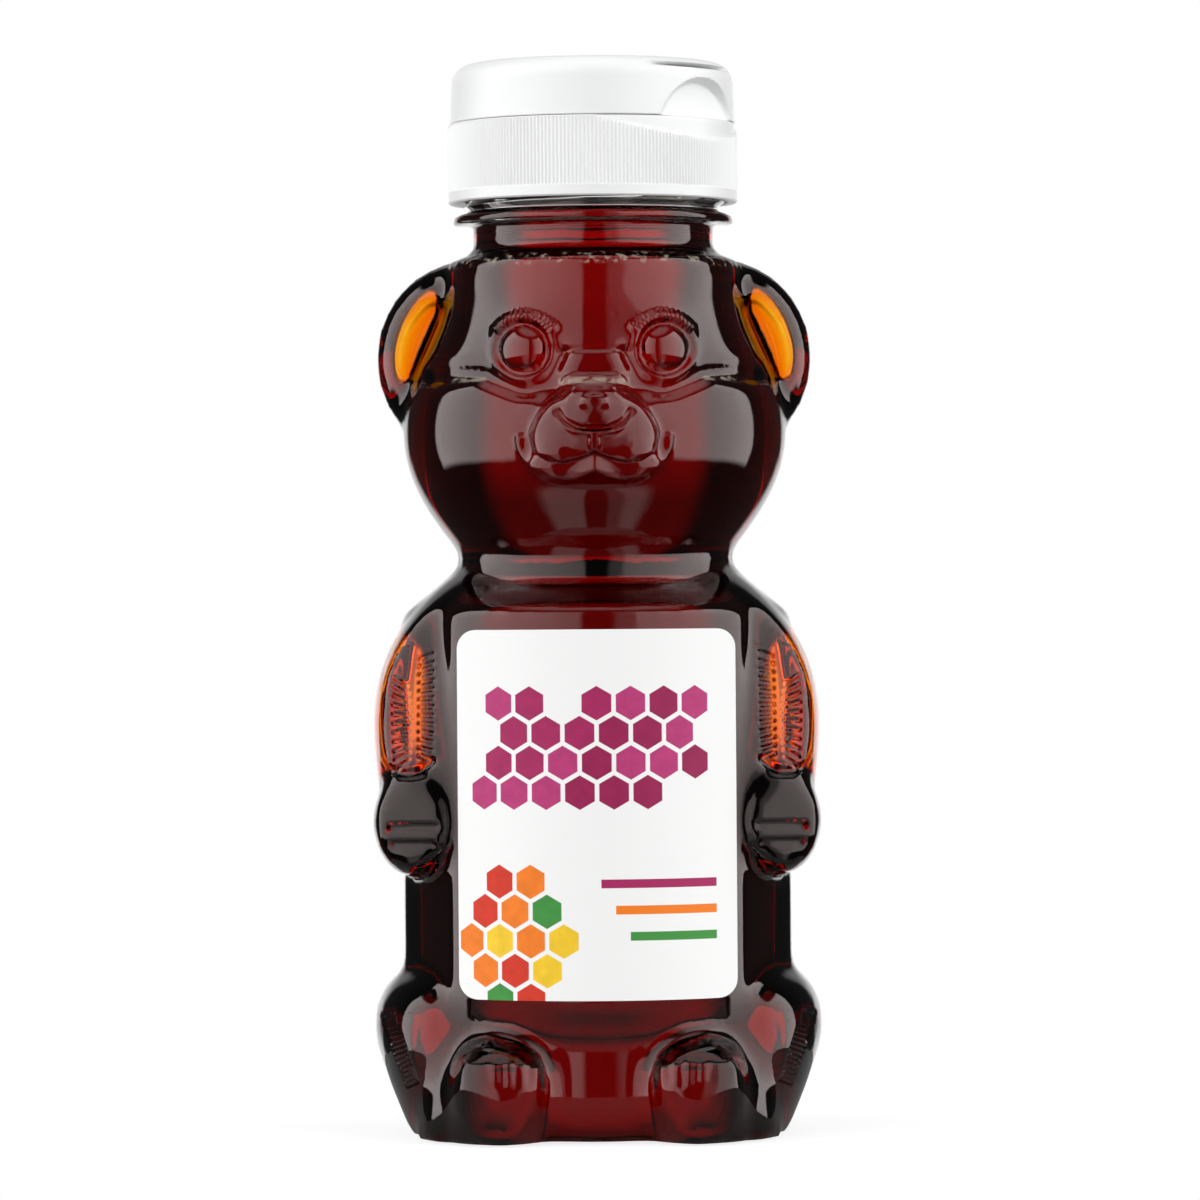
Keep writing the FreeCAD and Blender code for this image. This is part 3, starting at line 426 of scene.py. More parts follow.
FACE_LINES = [
    # a line of (side, height) points on the face, its half width and how far it stands out
    ([(22.8, 105.9), (18.5, 106.1), (16.0, 105.9), (13.0, 104.6), (9.8, 103.6), (6.8, 105.0), (4.9, 108.4)],
     1.4, -1.2),
    ([(0.0, 109.2), (2.6, 109.2), (4.3, 109.0)], 0.45, -0.4),
    ([(0.0, 105.4), (3.0, 105.4), (4.6, 105.0)], 0.4, 0.3),
    ([(4.7, 104.9), (7.1, 102.5), (8.9, 99.7), (9.9, 97.3)], 0.9, -0.7),
    ([(10.3, 97.0), (9.6, 95.0), (7.7, 92.9), (4.9, 91.6), (2.4, 91.9), (0.0, 92.8)], 0.6, 0.9),
    ([(9.4, 96.4), (8.2, 94.3), (5.0, 93.0), (2.5, 93.2), (0.0, 94.0)], 0.5, -0.45),
    ([(5.3, 100.7), (4.4, 99.3), (2.8, 98.3), (0.0, 98.1)], 0.38, -0.65),
    ([(5.0, 99.6), (3.9, 98.4), (2.4, 97.6), (0.0, 97.4)], 0.4, 0.4),
]
FOOT_LINES = [
    ([(15.3, 11.0), (15.2, 9.2)], 0.6, -0.12),
    ([(13.3, 11.6), (13.2, 8.8)], 0.5, -0.22),
    ([(11.3, 11.6), (11.3, 8.6)], 0.5, -0.22),
    ([(9.4, 11.4), (9.5, 8.8)], 0.5, -0.22),
]
PAW_LINES = [
    ([(30.0, 51.6), (27.5, 51.0), (25.0, 51.0), (22.8, 52.4)], 0.6, -0.6),
    ([(28.6, 43.3), (26.0, 43.4), (22.4, 43.4)], 0.45, -0.6),
    ([(28.2, 41.0), (26.0, 41.0), (22.8, 41.0)], 0.45, -0.6),
]
FUR_DEPTH = 0.3
FUR_ROWS = [
    # foot and head of a row of ticks, their count, length, first and last slant, and half width
    ((27.0, 52.0), (27.2, 63.5), 11, 2.2, -35, 35, 0.25),
    ((23.6, 53.0), (23.4, 67.0), 13, 1.8, 20, -20, 0.25),
    ((25.9, 7.8), (29.4, 17.2), 16, 1.7, -30, -18, 0.22),
]
BROW = [(13.2, 112.2), (11.8, 113.4), (9.8, 113.9), (7.6, 113.4), (5.5, 112.0)]
BROW_HALF_WIDTH = 0.7
HAIR_PITCH = 0.62
EYE = (9.9, 109.3)
EYE_RADIUS = 3.2
BALL_RADIUS = 3.7
NOSE_HEIGHT = 101.7
LIP_NOTCH = (94.5, 97.6)
MUZZLE_HEIGHT = 99.5
MUZZLE_RADIUS = 6.5


def fur_ticks(foot, head, count, length, slant_low, slant_high):
    """Short lines set side by side along a straight row, turning from one slant to the other."""
    ticks = []
    for share in np.linspace(0.0, 1.0, count):
        middle = np.asarray(foot) + (np.asarray(head) - np.asarray(foot)) * share
        slant = math.radians(slant_low + (slant_high - slant_low) * share)
        half = np.array([math.cos(slant), math.sin(slant)]) * length / 2
        ticks.append([tuple(middle - half), tuple(middle + half)])
    return ticks


def carve(skin):
    """Press the face, fur, fingers and toes into the front of the skin."""
    places = corners(skin)
    side = np.abs(places[:, 0]) / MM
    height = places[:, 2] / MM
    normals = corner_normals(skin)
    front = (places[:, 1] < -FRONT_REACH * MM) & (normals[:, 1] < -0.12)
    lift = np.zeros(len(side))
    lines = FACE_LINES + FOOT_LINES + PAW_LINES
    lines += [(tick, half_width, -FUR_DEPTH) for *row, half_width in FUR_ROWS for tick in fur_ticks(*row)]
    for points, half_width, stand in lines:
        low = min(point[1] for point in points) - 4 * half_width
        high = max(point[1] for point in points) + 4 * half_width
        near = front & (height > low) & (height < high)
        gap = off_line(smooth_line(points), side[near], height[near])[0]
        lift[near] += stand * roll(gap, half_width)
    # a groove round each eye with the lids outside it, then the brow with its hairs
    eye_gap = np.hypot(side - EYE[0], height - EYE[1])
    lift -= np.where(front, 0.55 * roll(eye_gap - EYE_RADIUS - 0.25, 0.4), 0.0)
    lift += np.where(front, 0.2 * roll(eye_gap - EYE_RADIUS - 1.1, 0.5), 0.0)
    brow_gap, brow_along = off_line(smooth_line(BROW), side, height)
    hair = 0.65 + 0.35 * np.cos(brow_along * math.tau / HAIR_PITCH + brow_gap * 2.0)
    lift += np.where(front, 0.6 * roll(brow_gap, BROW_HALF_WIDTH) * hair, 0.0)
    # the upright bar of the lip, the nose, and the muzzle set back as a whole
    bar = np.clip((1.0 - side) / 0.5, 0.0, 1.0) * np.clip((LIP_NOTCH[1] - height) / 0.8, 0.0, 1.0)
    bar *= np.clip((height - LIP_NOTCH[0]) / 0.8, 0.0, 1.0)
    lift += np.where(front, 0.35 * bar, 0.0)
    nose = np.exp(-((side / 2.1) ** 2 + ((height - NOSE_HEIGHT) / 1.2) ** 2) ** 2)
    lift += np.where(front, 0.55 * nose, 0.0)
    muzzle = np.exp(-((side / MUZZLE_RADIUS) ** 2 + ((height - MUZZLE_HEIGHT) / MUZZLE_RADIUS) ** 2) ** 2)
    lift -= np.where(front, 0.8 * muzzle, 0.0)
    facing = np.clip((-normals[:, 1] - 0.12) / 0.2, 0.0, 1.0)
    places += normals * (lift * facing * MM)[:, None]
    # each eye as a ball that stands out of the slope round it
    for hand in (-1, 1):
        across = hand * places[:, 0] / MM - EYE[0]
        up = places[:, 2] / MM - EYE[1]
        gap = np.hypot(across, up)
        ring = front & (gap > 4.1) & (gap < 5.0)
        spread = np.stack([across, up, np.ones(len(gap))], axis=1)
        slope = np.linalg.lstsq(spread[ring], places[ring, 1], rcond=None)[0]
        ball = np.sqrt(np.maximum(BALL_RADIUS ** 2 - gap ** 2, 0.0))
        ball -= math.sqrt(BALL_RADIUS ** 2 - EYE_RADIUS ** 2)
        share = np.where(front, np.clip((EYE_RADIUS - gap) / 0.2, 0.0, 1.0), 0.0)
        places[:, 1] += share * (spread @ slope - ball * MM - places[:, 1])
    move_corners(skin, places)


def inner_wall(skin):
    """The inside of the wall: the skin's own shape, coarser and one wall further in."""
    wall = new_piece("bottle_inside", skin.data.copy())
    apply(wall, "REMESH", mode="VOXEL", voxel_size=INNER_VOXEL, use_smooth_shade=True)
    apply(wall, "DISPLACE", strength=-WALL, mid_level=0.0)
    apply(wall, "REMESH", mode="VOXEL", voxel_size=INNER_VOXEL, use_smooth_shade=True)
    apply(wall, "SMOOTH", factor=0.5, iterations=2)
    return wall


def spin_outline(name, outline, segments):
    """Turn an open outline of (radius, height) points about the upright axis."""
    mesh = bpy.data.meshes.new(name)
    mesh.from_pydata([(radius, 0, height) for radius, height in outline],
                     [(n, n + 1) for n in range(len(outline) - 1)], [])
    piece = new_piece(name, mesh)
    edit_all(piece, bpy.ops.mesh.spin, steps=segments, angle=math.tau, center=(0, 0, 0), axis=(0, 0, 1))
    edit_all(piece, bpy.ops.mesh.remove_doubles, threshold=0.001 * MM)
    return piece


def neck():
    """Neck, support bead and thread, from the cut in the crown up to the lip and down the bore."""
    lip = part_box("bottle_neck")[1][2] / MM
    foot = NECK_CUT / MM + 0.5
    outline = [(NECK_RADIUS / MM, foot), (NECK_RADIUS / MM, 126.7), (17.05, 127.05), (17.5, 127.2)]
    outline += [(19.2, 127.2), (19.6, 127.4), (19.7, 127.8), (19.6, 128.3), (19.2, 128.6), (17.9, 129.0)]
    outline += [(FINISH_RADIUS, 129.3)]
    outline += [(FINISH_RADIUS, height) for height in np.arange(129.8, lip - 0.5, 0.35)]
    outline += [(FINISH_RADIUS, lip - 0.4), (17.4, lip - 0.1), (17.1, lip), (15.9, lip), (15.6, lip - 0.1)]
    outline += [(BORE_RADIUS, height) for height in (lip - 0.4, 132.0, 128.8, 127.0, foot)]
    piece = spin_outline("bottle_neck", [(radius * MM, height * MM) for radius, height in outline], 160)
    places = corners(piece) / MM
    radius = np.hypot(places[:, 0], places[:, 1])
    turn = np.arctan2(places[:, 1], places[:, 0]) / math.tau
    along = (places[:, 2] - THREAD_START) / THREAD_PITCH - turn
    off = np.abs(along - np.round(along)) * THREAD_PITCH
    on_thread = (radius > 17.0) & (np.round(along) >= 0) & (np.round(along) <= 1) & (places[:, 2] > 129.6)
    crest = np.clip((1.15 - off) / 0.55, 0.0, 1.0)
    fade = np.clip((along + 0.4) * 6.0, 0.0, 1.0) * np.clip((1.45 - along) * 6.0, 0.0, 1.0)
    lift = np.where(on_thread, crest * fade * 1.0, 0.0)
    places[:, :2] *= ((radius + lift) / radius)[:, None]
    move_corners(piece, places * MM)
    return piece


def bridge_rims(piece, low_radius, high_radius):
    """Join the two open rims near the neck's cut that lie between two radii."""
    only(piece)
    bpy.ops.object.mode_set(mode="EDIT")
    bpy.ops.mesh.select_mode(type="EDGE")
    bpy.ops.mesh.select_all(action="DESELECT")
    bpy.ops.mesh.select_non_manifold(extend=False, use_wire=False, use_multi_face=False,
                                     use_non_contiguous=False, use_verts=False)
    bpy.ops.object.mode_set(mode="OBJECT")
    places = corners(piece)
    radius = np.hypot(places[:, 0], places[:, 1])
    inside = (radius > low_radius) & (radius < high_radius) & (np.abs(places[:, 2] - NECK_CUT) < 1.5 * MM)
    for edge in piece.data.edges:
        edge.select = edge.select and bool(inside[edge.vertices[0]] and inside[edge.vertices[1]])
    bpy.ops.object.mode_set(mode="EDIT")
    bpy.ops.mesh.bridge_edge_loops()
    bpy.ops.mesh.select_mode(type="VERT")
    bpy.ops.object.mode_set(mode="OBJECT")


def outward_faces(piece):
    edit_all(piece, bpy.ops.mesh.normals_make_consistent, inside=False)


def clear_plastic(name, ior):
    """Clear glossy plastic. An index of 1 lets light through a wall that honey wets without bending it."""
    plastic = bpy.data.materials.new(name)
    plastic.use_nodes = True
    shader = plastic.node_tree.nodes["Principled BSDF"]
    shader.inputs["Base Color"].default_value = (1.0, 1.0, 1.0, 1.0)
    shader.inputs["Transmission Weight"].default_value = 1.0
    shader.inputs["IOR"].default_value = ior
    shader.inputs["Roughness"].default_value = 0.0
    shader.inputs["Specular Tint"].default_value = (1.0, 0.84, 0.82, 1.0)
    return plastic


RUBBED_ZONES = [
    # heights from and to with their soft edge, sides from and to with theirs, and the spots' thresholds
    (121.1, 122.6, 0.6, -10.0, 40.0, 1.0, 0.52, 0.68),
    (104.3, 105.2, 0.5, -10.0, 4.9, 0.6, 0.38, 0.55),
    (104.9, 105.5, 0.4, 15.0, 19.5, 1.0, 0.45, 0.6),
]
RUBBED_SHARE = 0.38
RUBBED_COLOUR = (0.55, 0.47, 0.38, 1.0)


def scuff(plastic):
    """Dull rubbed spots on the crown's edge, the nose's bridge and the cheek folds, and an uneven gloss."""
    tree = plastic.node_tree
    shader = tree.nodes["Principled BSDF"]
    object_place = tree.nodes.new("ShaderNodeTexCoord").outputs["Object"]
    parts = tree.nodes.new("ShaderNodeSeparateXYZ")
    tree.links.new(object_place, parts.inputs[0])
    side = maths(tree, "ABSOLUTE", parts.outputs["X"])
    height = parts.outputs["Z"]
    spots = wire(tree, "ShaderNodeTexNoise", object_place, None, 900.0, 5.0)
    rubbed = None
    for low, high, height_edge, near, far, side_edge, few, many in RUBBED_ZONES:
        zone = band(tree, height, low * MM, high * MM, height_edge * MM)
        zone = maths(tree, "MULTIPLY", zone, band(tree, side, near * MM, far * MM, side_edge * MM))
        zone = maths(tree, "MULTIPLY", zone, rise(tree, spots, few, many))
        rubbed = zone if rubbed is None else maths(tree, "MAXIMUM", rubbed, zone)
    ahead = maths(tree, "LESS_THAN", parts.outputs["Y"], 0.0)
    share = maths(tree, "MULTIPLY", maths(tree, "MULTIPLY", rubbed, ahead), RUBBED_SHARE)
    dull = wire(tree, "ShaderNodeBsdfDiffuse", RUBBED_COLOUR)
    both = wire(tree, "ShaderNodeMixShader", share, shader.outputs[0], dull)
    tree.links.new(both, tree.nodes["Material Output"].inputs["Surface"])
    gloss = wire(tree, "ShaderNodeTexNoise", object_place, None, 120.0, 3.0)
    uneven = wire(tree, "ShaderNodeMapRange", gloss, 0.4, 0.75, 0.0, 0.06)
    tree.links.new(uneven, shader.inputs["Roughness"])


# boxes of (from side, to side, from height, to height)
FEET = (5.0, 25.5, 2.0, 18.0)
SOLES = (5.0, 21.5, 2.0, 18.0)
INSTEPS = (5.0, 23.0, 11.5, 20.0)
BROWS = (3.0, 16.0, 110.6, 117.5)
MUZZLE = (-1.0, 12.0, 90.0, 105.0)
FACE = (0.0, 14.0, 90.5, 116.5)
CHEEK_FOLDS = (14.0, 23.5, 101.5, 108.5)
FOREARMS = (22.0, 29.0, 50.5, 68.5)
FINGERS = (21.5, 31.0, 39.5, 45.0)
THIGHS = (24.0, 31.0, 6.5, 18.0)
TOES = (6.0, 20.5, 7.0, 17.0)

bottle = outer_skin()
soften(bottle, *FEET, 16)
soften(bottle, *BROWS, 60)
refine(bottle, [(*FACE, 2), (*CHEEK_FOLDS, 1), (*FOREARMS, 2), (*FINGERS, 1), (*THIGHS, 2), (*TOES, 1)])
soften(bottle, *SOLES, 14)
soften(bottle, *INSTEPS, 60)
carve(bottle)
soften(bottle, *MUZZLE, 2)
inside = inner_wall(bottle)
slice_off(bottle, NECK_CUT - 0.6 * MM)
slice_off(inside, NECK_CUT - 0.6 * MM)
wetted_mesh = inside.data.copy()
edit_all(inside, bpy.ops.mesh.flip_normals)
bottle.data.materials.clear()
bottle.data.materials.append(clear_plastic("clear_polyester", PET_IOR))
scuff(bottle.data.materials[0])
bottle.data.materials.append(clear_plastic("wetted_polyester", 1.0))
inside.data.materials.clear()
inside.data.materials.append(bottle.data.materials[1])
rim = neck()
rim.data.materials.append(bottle.data.materials[0])
outward_faces(rim)
join(bottle, inside)
join(bottle, rim)
bridge_rims(bottle, BETWEEN_WALLS * MM, 18.0 * MM)
bridge_rims(bottle, 14.0 * MM, BETWEEN_WALLS * MM)
only(bottle)
bpy.ops.object.shade_smooth()
HONEY_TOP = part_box("honey")[1][2]
for face in bottle.data.polygons:
    in_bore = math.hypot(face.center.x, face.center.y) < BORE_RADIUS * MM + 1.0 * MM
    if in_bore and NECK_CUT - 2 * MM < face.center.z < HONEY_TOP - 0.2 * MM:
        face.material_index = 1
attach(bottle, "bottle")
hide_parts("bottle_shell", "bottle_neck")

# Honey: a thick dark liquid, filled in through the neck, that wets the whole inside up to just under
# the cap. It has almost the same refraction as the plastic, so only its level top bends light by itself.
HONEY_INSET = 0.06 * MM
HONEY_IOR = 1.49
HONEY_COLOUR = (0.96, 0.755, 0.0, 1.0)
HONEY_DENSITY = 1250.0
THROAT_RADIUS = BORE_RADIUS * MM - 0.1 * MM


def honey_material(name, ior):
    """Clear, and darker the further light goes through it."""
    liquid = clear_plastic(name, ior)
    tree = liquid.node_tree
    absorb = wire(tree, "ShaderNodeVolumeAbsorption", HONEY_COLOUR, HONEY_DENSITY)
    tree.links.new(absorb, tree.nodes["Material Output"].inputs["Volume"])
    return liquid


honey = new_piece("honey", wetted_mesh)
apply(honey, "DISPLACE", strength=-HONEY_INSET, mid_level=0.0)
throat = spin_outline("honey_throat", [
    (THROAT_RADIUS, NECK_CUT + 0.5 * MM), (THROAT_RADIUS, HONEY_TOP - 0.2 * MM),
    (THROAT_RADIUS - 0.2 * MM, HONEY_TOP - 0.25 * MM), (THROAT_RADIUS - 1.3 * MM, HONEY_TOP - 0.3 * MM),
    (0.0, HONEY_TOP - 0.3 * MM)], 96)
join(honey, throat)
bridge_rims(honey, 14.0 * MM, BETWEEN_WALLS * MM)
outward_faces(honey)
honey.data.materials.clear()
honey.data.materials.append(honey_material("dark_honey", 1.0))
honey.data.materials.append(honey_material("honey_level", HONEY_IOR))
bpy.ops.object.shade_smooth()
for face in honey.data.polygons:
    face.material_index = int(face.center.z > HONEY_TOP - 0.5 * MM and face.normal.z > 0.7)
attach(honey, "bottle")
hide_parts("honey")

# Label: a printed film with rounded corners, stuck flat on the belly panel so that it bends only one way.
# The print is a plain honeycomb and stripes in crimson, orange, yellow and green on white.
LABEL_LOW, LABEL_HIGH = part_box("front_label")
LABEL_HALF_WIDTH = LABEL_HIGH[0]
LABEL_CORNER = 2.6 * MM
LABEL_THICKNESS = 0.1 * MM
PANEL_HALF_WIDTH = 27.48 * MM
PANEL_HALF_DEPTH = -LABEL_LOW[1]
CELL = 4.7
PAPER_WHITE = (0.86, 0.86, 0.855)
CRIMSON = (0.36, 0.018, 0.105)
LIGHT_CRIMSON = (0.46, 0.04, 0.17)
DARK_CRIMSON = (0.30, 0.012, 0.08)
RED = (0.62, 0.035, 0.014)
ORANGE = (0.85, 0.20, 0.014)
YELLOW = (0.87, 0.56, 0.025)
GREEN = (0.05, 0.27, 0.05)
LIME = (0.42, 0.50, 0.03)
STRIPES = [
    # lower and upper edge, left and right end, and ink
    (15.4, 16.6, 0.5, 17.5, CRIMSON),
    (11.8, 13.0, 2.5, 17.5, ORANGE),
    (8.2, 9.4, 4.5, 17.5, GREEN),
]


def label_sheet():
    """A grid whose rows draw in at the corners, bent round the panel, with a map of the print in mm."""
    corner_rows = LABEL_CORNER * (1 - np.cos(np.linspace(0.0, math.pi / 2, 9)))
    tall = LABEL_HIGH[2] - LABEL_LOW[2]
    rows = np.concatenate([corner_rows, np.linspace(LABEL_CORNER, tall - LABEL_CORNER, 25)[1:-1],
                           tall - corner_rows[::-1]])
    columns = np.linspace(-1.0, 1.0, 65)
    to_end = np.minimum(np.minimum(rows, tall - rows), LABEL_CORNER)
    half = LABEL_HALF_WIDTH - LABEL_CORNER + np.sqrt(LABEL_CORNER ** 2 - (LABEL_CORNER - to_end) ** 2)
    across = half[:, None] * columns[None, :]
    turn = np.arcsin(across / PANEL_HALF_WIDTH)
    places = np.stack([across, -PANEL_HALF_DEPTH * np.cos(turn),
                       np.broadcast_to((LABEL_LOW[2] + rows)[:, None], across.shape)], axis=-1)
    count = len(columns)
    quads = [(row * count + n, row * count + n + 1, (row + 1) * count + n + 1, (row + 1) * count + n)
             for row in range(len(rows) - 1) for n in range(count - 1)]
    mesh = bpy.data.meshes.new("front_label")
    mesh.from_pydata(places.reshape(-1, 3).tolist(), [], quads)
    flat_rows = np.broadcast_to(rows[:, None], across.shape)
    printed = (np.stack([turn * PANEL_HALF_WIDTH, flat_rows], axis=-1) / MM).reshape(-1, 2)
    layer = mesh.uv_layers.new(name="print")
    for loop in mesh.loops:
        layer.data[loop.index].uv = printed[loop.vertex_index]
    piece = new_piece("front_label", mesh)
    apply(piece, "SOLIDIFY", thickness=LABEL_THICKNESS, offset=-1.0)
    return piece


def steps(tree, value, stops):
    """Flat steps of colour along a value from 0 to 1."""
    ramp = tree.nodes.new("ShaderNodeValToRGB")
    ramp.color_ramp.interpolation = "CONSTANT"
    while len(ramp.color_ramp.elements) < len(stops):
        ramp.color_ramp.elements.new(1.0)
    for element, (start, colour) in zip(ramp.color_ramp.elements, stops):
        element.position = start
        element.color = (*colour, 1.0)
    tree.links.new(value, ramp.inputs[0])
    return ramp.outputs["Color"]


def over(tree, under, colour, mask):
    """Lay a colour over another where a mask is 1."""
    mix = tree.nodes.new("ShaderNodeMix")
    mix.data_type = "RGBA"
    tree.links.new(mask, mix.inputs["Factor"])
    for name, value in (("A", under), ("B", colour)):
        place = [socket for socket in mix.inputs if socket.name == name and socket.type == "RGBA"][0]
        if isinstance(value, bpy.types.NodeSocket):
            tree.links.new(value, place)
        else:
            place.default_value = (*value, 1.0)
    return [socket for socket in mix.outputs if socket.type == "RGBA"][0]


def vectors(tree, operation, *inputs):
    return wire(tree, "ShaderNodeVectorMath", *inputs, operation=operation)


def dot(tree, first, second):
    return vectors(tree, "DOT_PRODUCT", first, second).node.outputs["Value"]


def label_material():
    """White film with two clusters of honeycomb cells and three stripes, all drawn by formula."""
    film = bpy.data.materials.new("label_film")
    film.use_nodes = True
    tree = film.node_tree
    shader = tree.nodes["Principled BSDF"]
    printed = tree.nodes.new("ShaderNodeUVMap")
    printed.uv_map = "print"
    flat = printed.outputs["UV"]
    tile = (1.0, math.sqrt(3.0), 1.0)
    half = (0.5, math.sqrt(3.0) / 2, 0.0)
    start = (20.0, 10 * tile[1], 0.0)
    grid = vectors(tree, "ADD", vectors(tree, "MULTIPLY", flat, (1 / CELL, 1 / CELL, 0.0)), start)
    first = vectors(tree, "SUBTRACT", vectors(tree, "MODULO", grid, tile), half)
    shifted = vectors(tree, "SUBTRACT", grid, half)
    second = vectors(tree, "SUBTRACT", vectors(tree, "MODULO", shifted, tile), half)
    nearer = maths(tree, "LESS_THAN", dot(tree, first, first), dot(tree, second, second))
    kept = tree.nodes.new("ShaderNodeMix")
    kept.data_type = "VECTOR"
    tree.links.new(nearer, kept.inputs["Factor"])
    sockets = [socket for socket in kept.inputs if socket.type == "VECTOR" and socket.name in ("A", "B")]
    tree.links.new(second, sockets[0])
    tree.links.new(first, sockets[1])
    in_cell = [socket for socket in kept.outputs if socket.type == "VECTOR"][0]
    folded = vectors(tree, "ABSOLUTE", in_cell)
    sides = tree.nodes.new("ShaderNodeSeparateXYZ")
    tree.links.new(folded, sides.inputs[0])
    to_edge = maths(tree, "MAXIMUM", dot(tree, folded, half), sides.outputs["X"])
    inside = maths(tree, "SUBTRACT", 1.0, rise(tree, to_edge, 0.425, 0.445))
    middle = vectors(tree, "SUBTRACT", grid, in_cell)
    at = tree.nodes.new("ShaderNodeSeparateXYZ")
    tree.links.new(vectors(tree, "SUBTRACT", middle, start), at.inputs[0])
    along, up = at.outputs["X"], at.outputs["Y"]
    snapped = vectors(tree, "SNAP", vectors(tree, "ADD", middle, (0.1, 0.1, 0.0)), (0.25, 0.25, 1.0))
    chance = wire(tree, "ShaderNodeTexWhiteNoise", snapped)
    wash = wire(tree, "ShaderNodeTexNoise", flat, None, 0.55, 3.0)
    crimson = steps(tree, chance, [(0.0, CRIMSON), (0.4, LIGHT_CRIMSON), (0.75, DARK_CRIMSON)])
    bright = steps(tree, chance, [(0.0, RED), (0.3, ORANGE), (0.55, YELLOW), (0.78, GREEN), (0.9, LIME)])
    upper = maths(tree, "MULTIPLY", band(tree, up, 5.4, 9.3, 0.02), band(tree, along, -3.8, 3.3, 0.02))
    upper = maths(tree, "MULTIPLY", upper, maths(tree, "GREATER_THAN", chance, 0.16))
    across_cluster = maths(tree, "POWER", maths(tree, "ADD", along, 2.6), 2.0)
    up_cluster = maths(tree, "POWER", maths(tree, "SUBTRACT", up, 1.7), 2.0)
    lower = maths(tree, "LESS_THAN", maths(tree, "ADD", across_cluster, up_cluster), 4.2)
    upper_cells = maths(tree, "MULTIPLY", upper, inside)
    lower_cells = maths(tree, "MULTIPLY", lower, inside)
    colour = over(tree, PAPER_WHITE, crimson, upper_cells)
    colour = over(tree, colour, bright, lower_cells)
    place = tree.nodes.new("ShaderNodeSeparateXYZ")
    tree.links.new(flat, place.inputs[0])
    for low, high, left, right, ink in STRIPES:
        stripe = maths(tree, "MULTIPLY", band(tree, place.outputs["Y"], low, high, 0.06),
                       band(tree, place.outputs["X"], left, right, 0.06))
        colour = over(tree, colour, ink, stripe)
    tone = wire(tree, "ShaderNodeMapRange", wash, 0.3, 0.7, 0.88, 1.06)
    washed = vectors(tree, "MULTIPLY", colour, tone)
    inked = maths(tree, "MAXIMUM", upper_cells, lower_cells)
    tree.links.new(over(tree, colour, washed, inked), shader.inputs["Base Color"])
    shader.inputs["Roughness"].default_value = 0.55
    shader.inputs["Specular IOR Level"].default_value = 0.25
    return film


label = label_sheet()
label.data.materials.append(label_material())
only(label)
bpy.ops.object.shade_smooth_by_angle(angle=math.radians(40))
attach(label, "bottle")
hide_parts("front_label")

# Sealing ring: a ring of soft white foam, punched from sheet and pressed under the cap's deck
# to seal the lip. It lifts with the cap as the thread backs off.
RING_LOW, RING_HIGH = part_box("cap_liner")
RING_OUT = RING_HIGH[0]
RING_IN = 14.0 * MM
RING_EDGE = 0.12 * MM
FOAM_LIGHT = (0.80, 0.80, 0.77)
FOAM_DARK = (0.72, 0.715, 0.68)


def foam_material():
    """Dull white foam with fine cells."""
    foam = bpy.data.materials.new("liner_foam")
    foam.use_nodes = True
    tree = foam.node_tree
    shader = tree.nodes["Principled BSDF"]
    object_place = tree.nodes.new("ShaderNodeTexCoord").outputs["Object"]
    cells = wire(tree, "ShaderNodeTexVoronoi", object_place, None, 3500.0)
    bump = tree.nodes.new("ShaderNodeBump")
    bump.inputs["Strength"].default_value = 0.35
    bump.inputs["Distance"].default_value = 0.05 * MM
    tree.links.new(cells, bump.inputs["Height"])
    tree.links.new(bump.outputs["Normal"], shader.inputs["Normal"])
    tone = wire(tree, "ShaderNodeTexNoise", object_place, None, 260.0, 2.0)
    tree.links.new(over(tree, FOAM_LIGHT, FOAM_DARK, tone), shader.inputs["Base Color"])
    shader.inputs["Roughness"].default_value = 0.9
    return foam


liner = spin_outline("sealing_ring", [
    (RING_IN, RING_LOW[2] + RING_EDGE), (RING_IN + RING_EDGE, RING_LOW[2]),
    (RING_OUT - RING_EDGE, RING_LOW[2]), (RING_OUT, RING_LOW[2] + RING_EDGE),
    (RING_OUT, RING_HIGH[2] - RING_EDGE), (RING_OUT - RING_EDGE, RING_HIGH[2]),
    (RING_IN + RING_EDGE, RING_HIGH[2]), (RING_IN, RING_HIGH[2] - RING_EDGE),
    (RING_IN, RING_LOW[2] + RING_EDGE)], 128)
liner.data.materials.append(foam_material())
only(liner)
bpy.ops.object.shade_smooth_by_angle(angle=math.radians(30))
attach(liner, "sealing_ring")
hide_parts("cap_liner")

# Cap: injection-moulded white polypropylene, screwed on the neck, with fine ribs round its skirt and
# a spout in its deck. A smooth recess below the lid's notch lets a thumb get under the lid.
CAP_LOW, CAP_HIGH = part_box("cap_base")
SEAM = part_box("cap_lid")[0][2] / MM - 0.1
SKIRT_RADIUS = 20.35
SKIRT_BORE = 18.9
DECK_THICKNESS = 1.3
RIBS = 238
RIB_DEPTH = 0.17
THUMB = math.radians(52 - 90)
RECESS_DEPTH = 0.35
RECESS_FOOT = 12.2
RECESS_SLOPE = math.tan(math.radians(20))
CAP_LIGHT = (0.82, 0.825, 0.825)
CAP_DARK = (0.79, 0.795, 0.795)
PAD_FACE = 20.5
PAD_HALF_WIDTH = 5.0
PAD_RISE = 1.9


def to_thumb(places):
    """Turn places so that the thumb notch lies at +X."""
    turned = places.copy()
    turned[:, 0] = places[:, 0] * math.cos(THUMB) + places[:, 1] * math.sin(THUMB)
    turned[:, 1] = places[:, 1] * math.cos(THUMB) - places[:, 0] * math.sin(THUMB)
    return turned


def from_thumb(turned):
    """Turn places back from where the thumb notch lies at +X."""
    places = turned.copy()
    places[:, 0] = turned[:, 0] * math.cos(THUMB) - turned[:, 1] * math.sin(THUMB)
    places[:, 1] = turned[:, 1] * math.cos(THUMB) + turned[:, 0] * math.sin(THUMB)
    return places


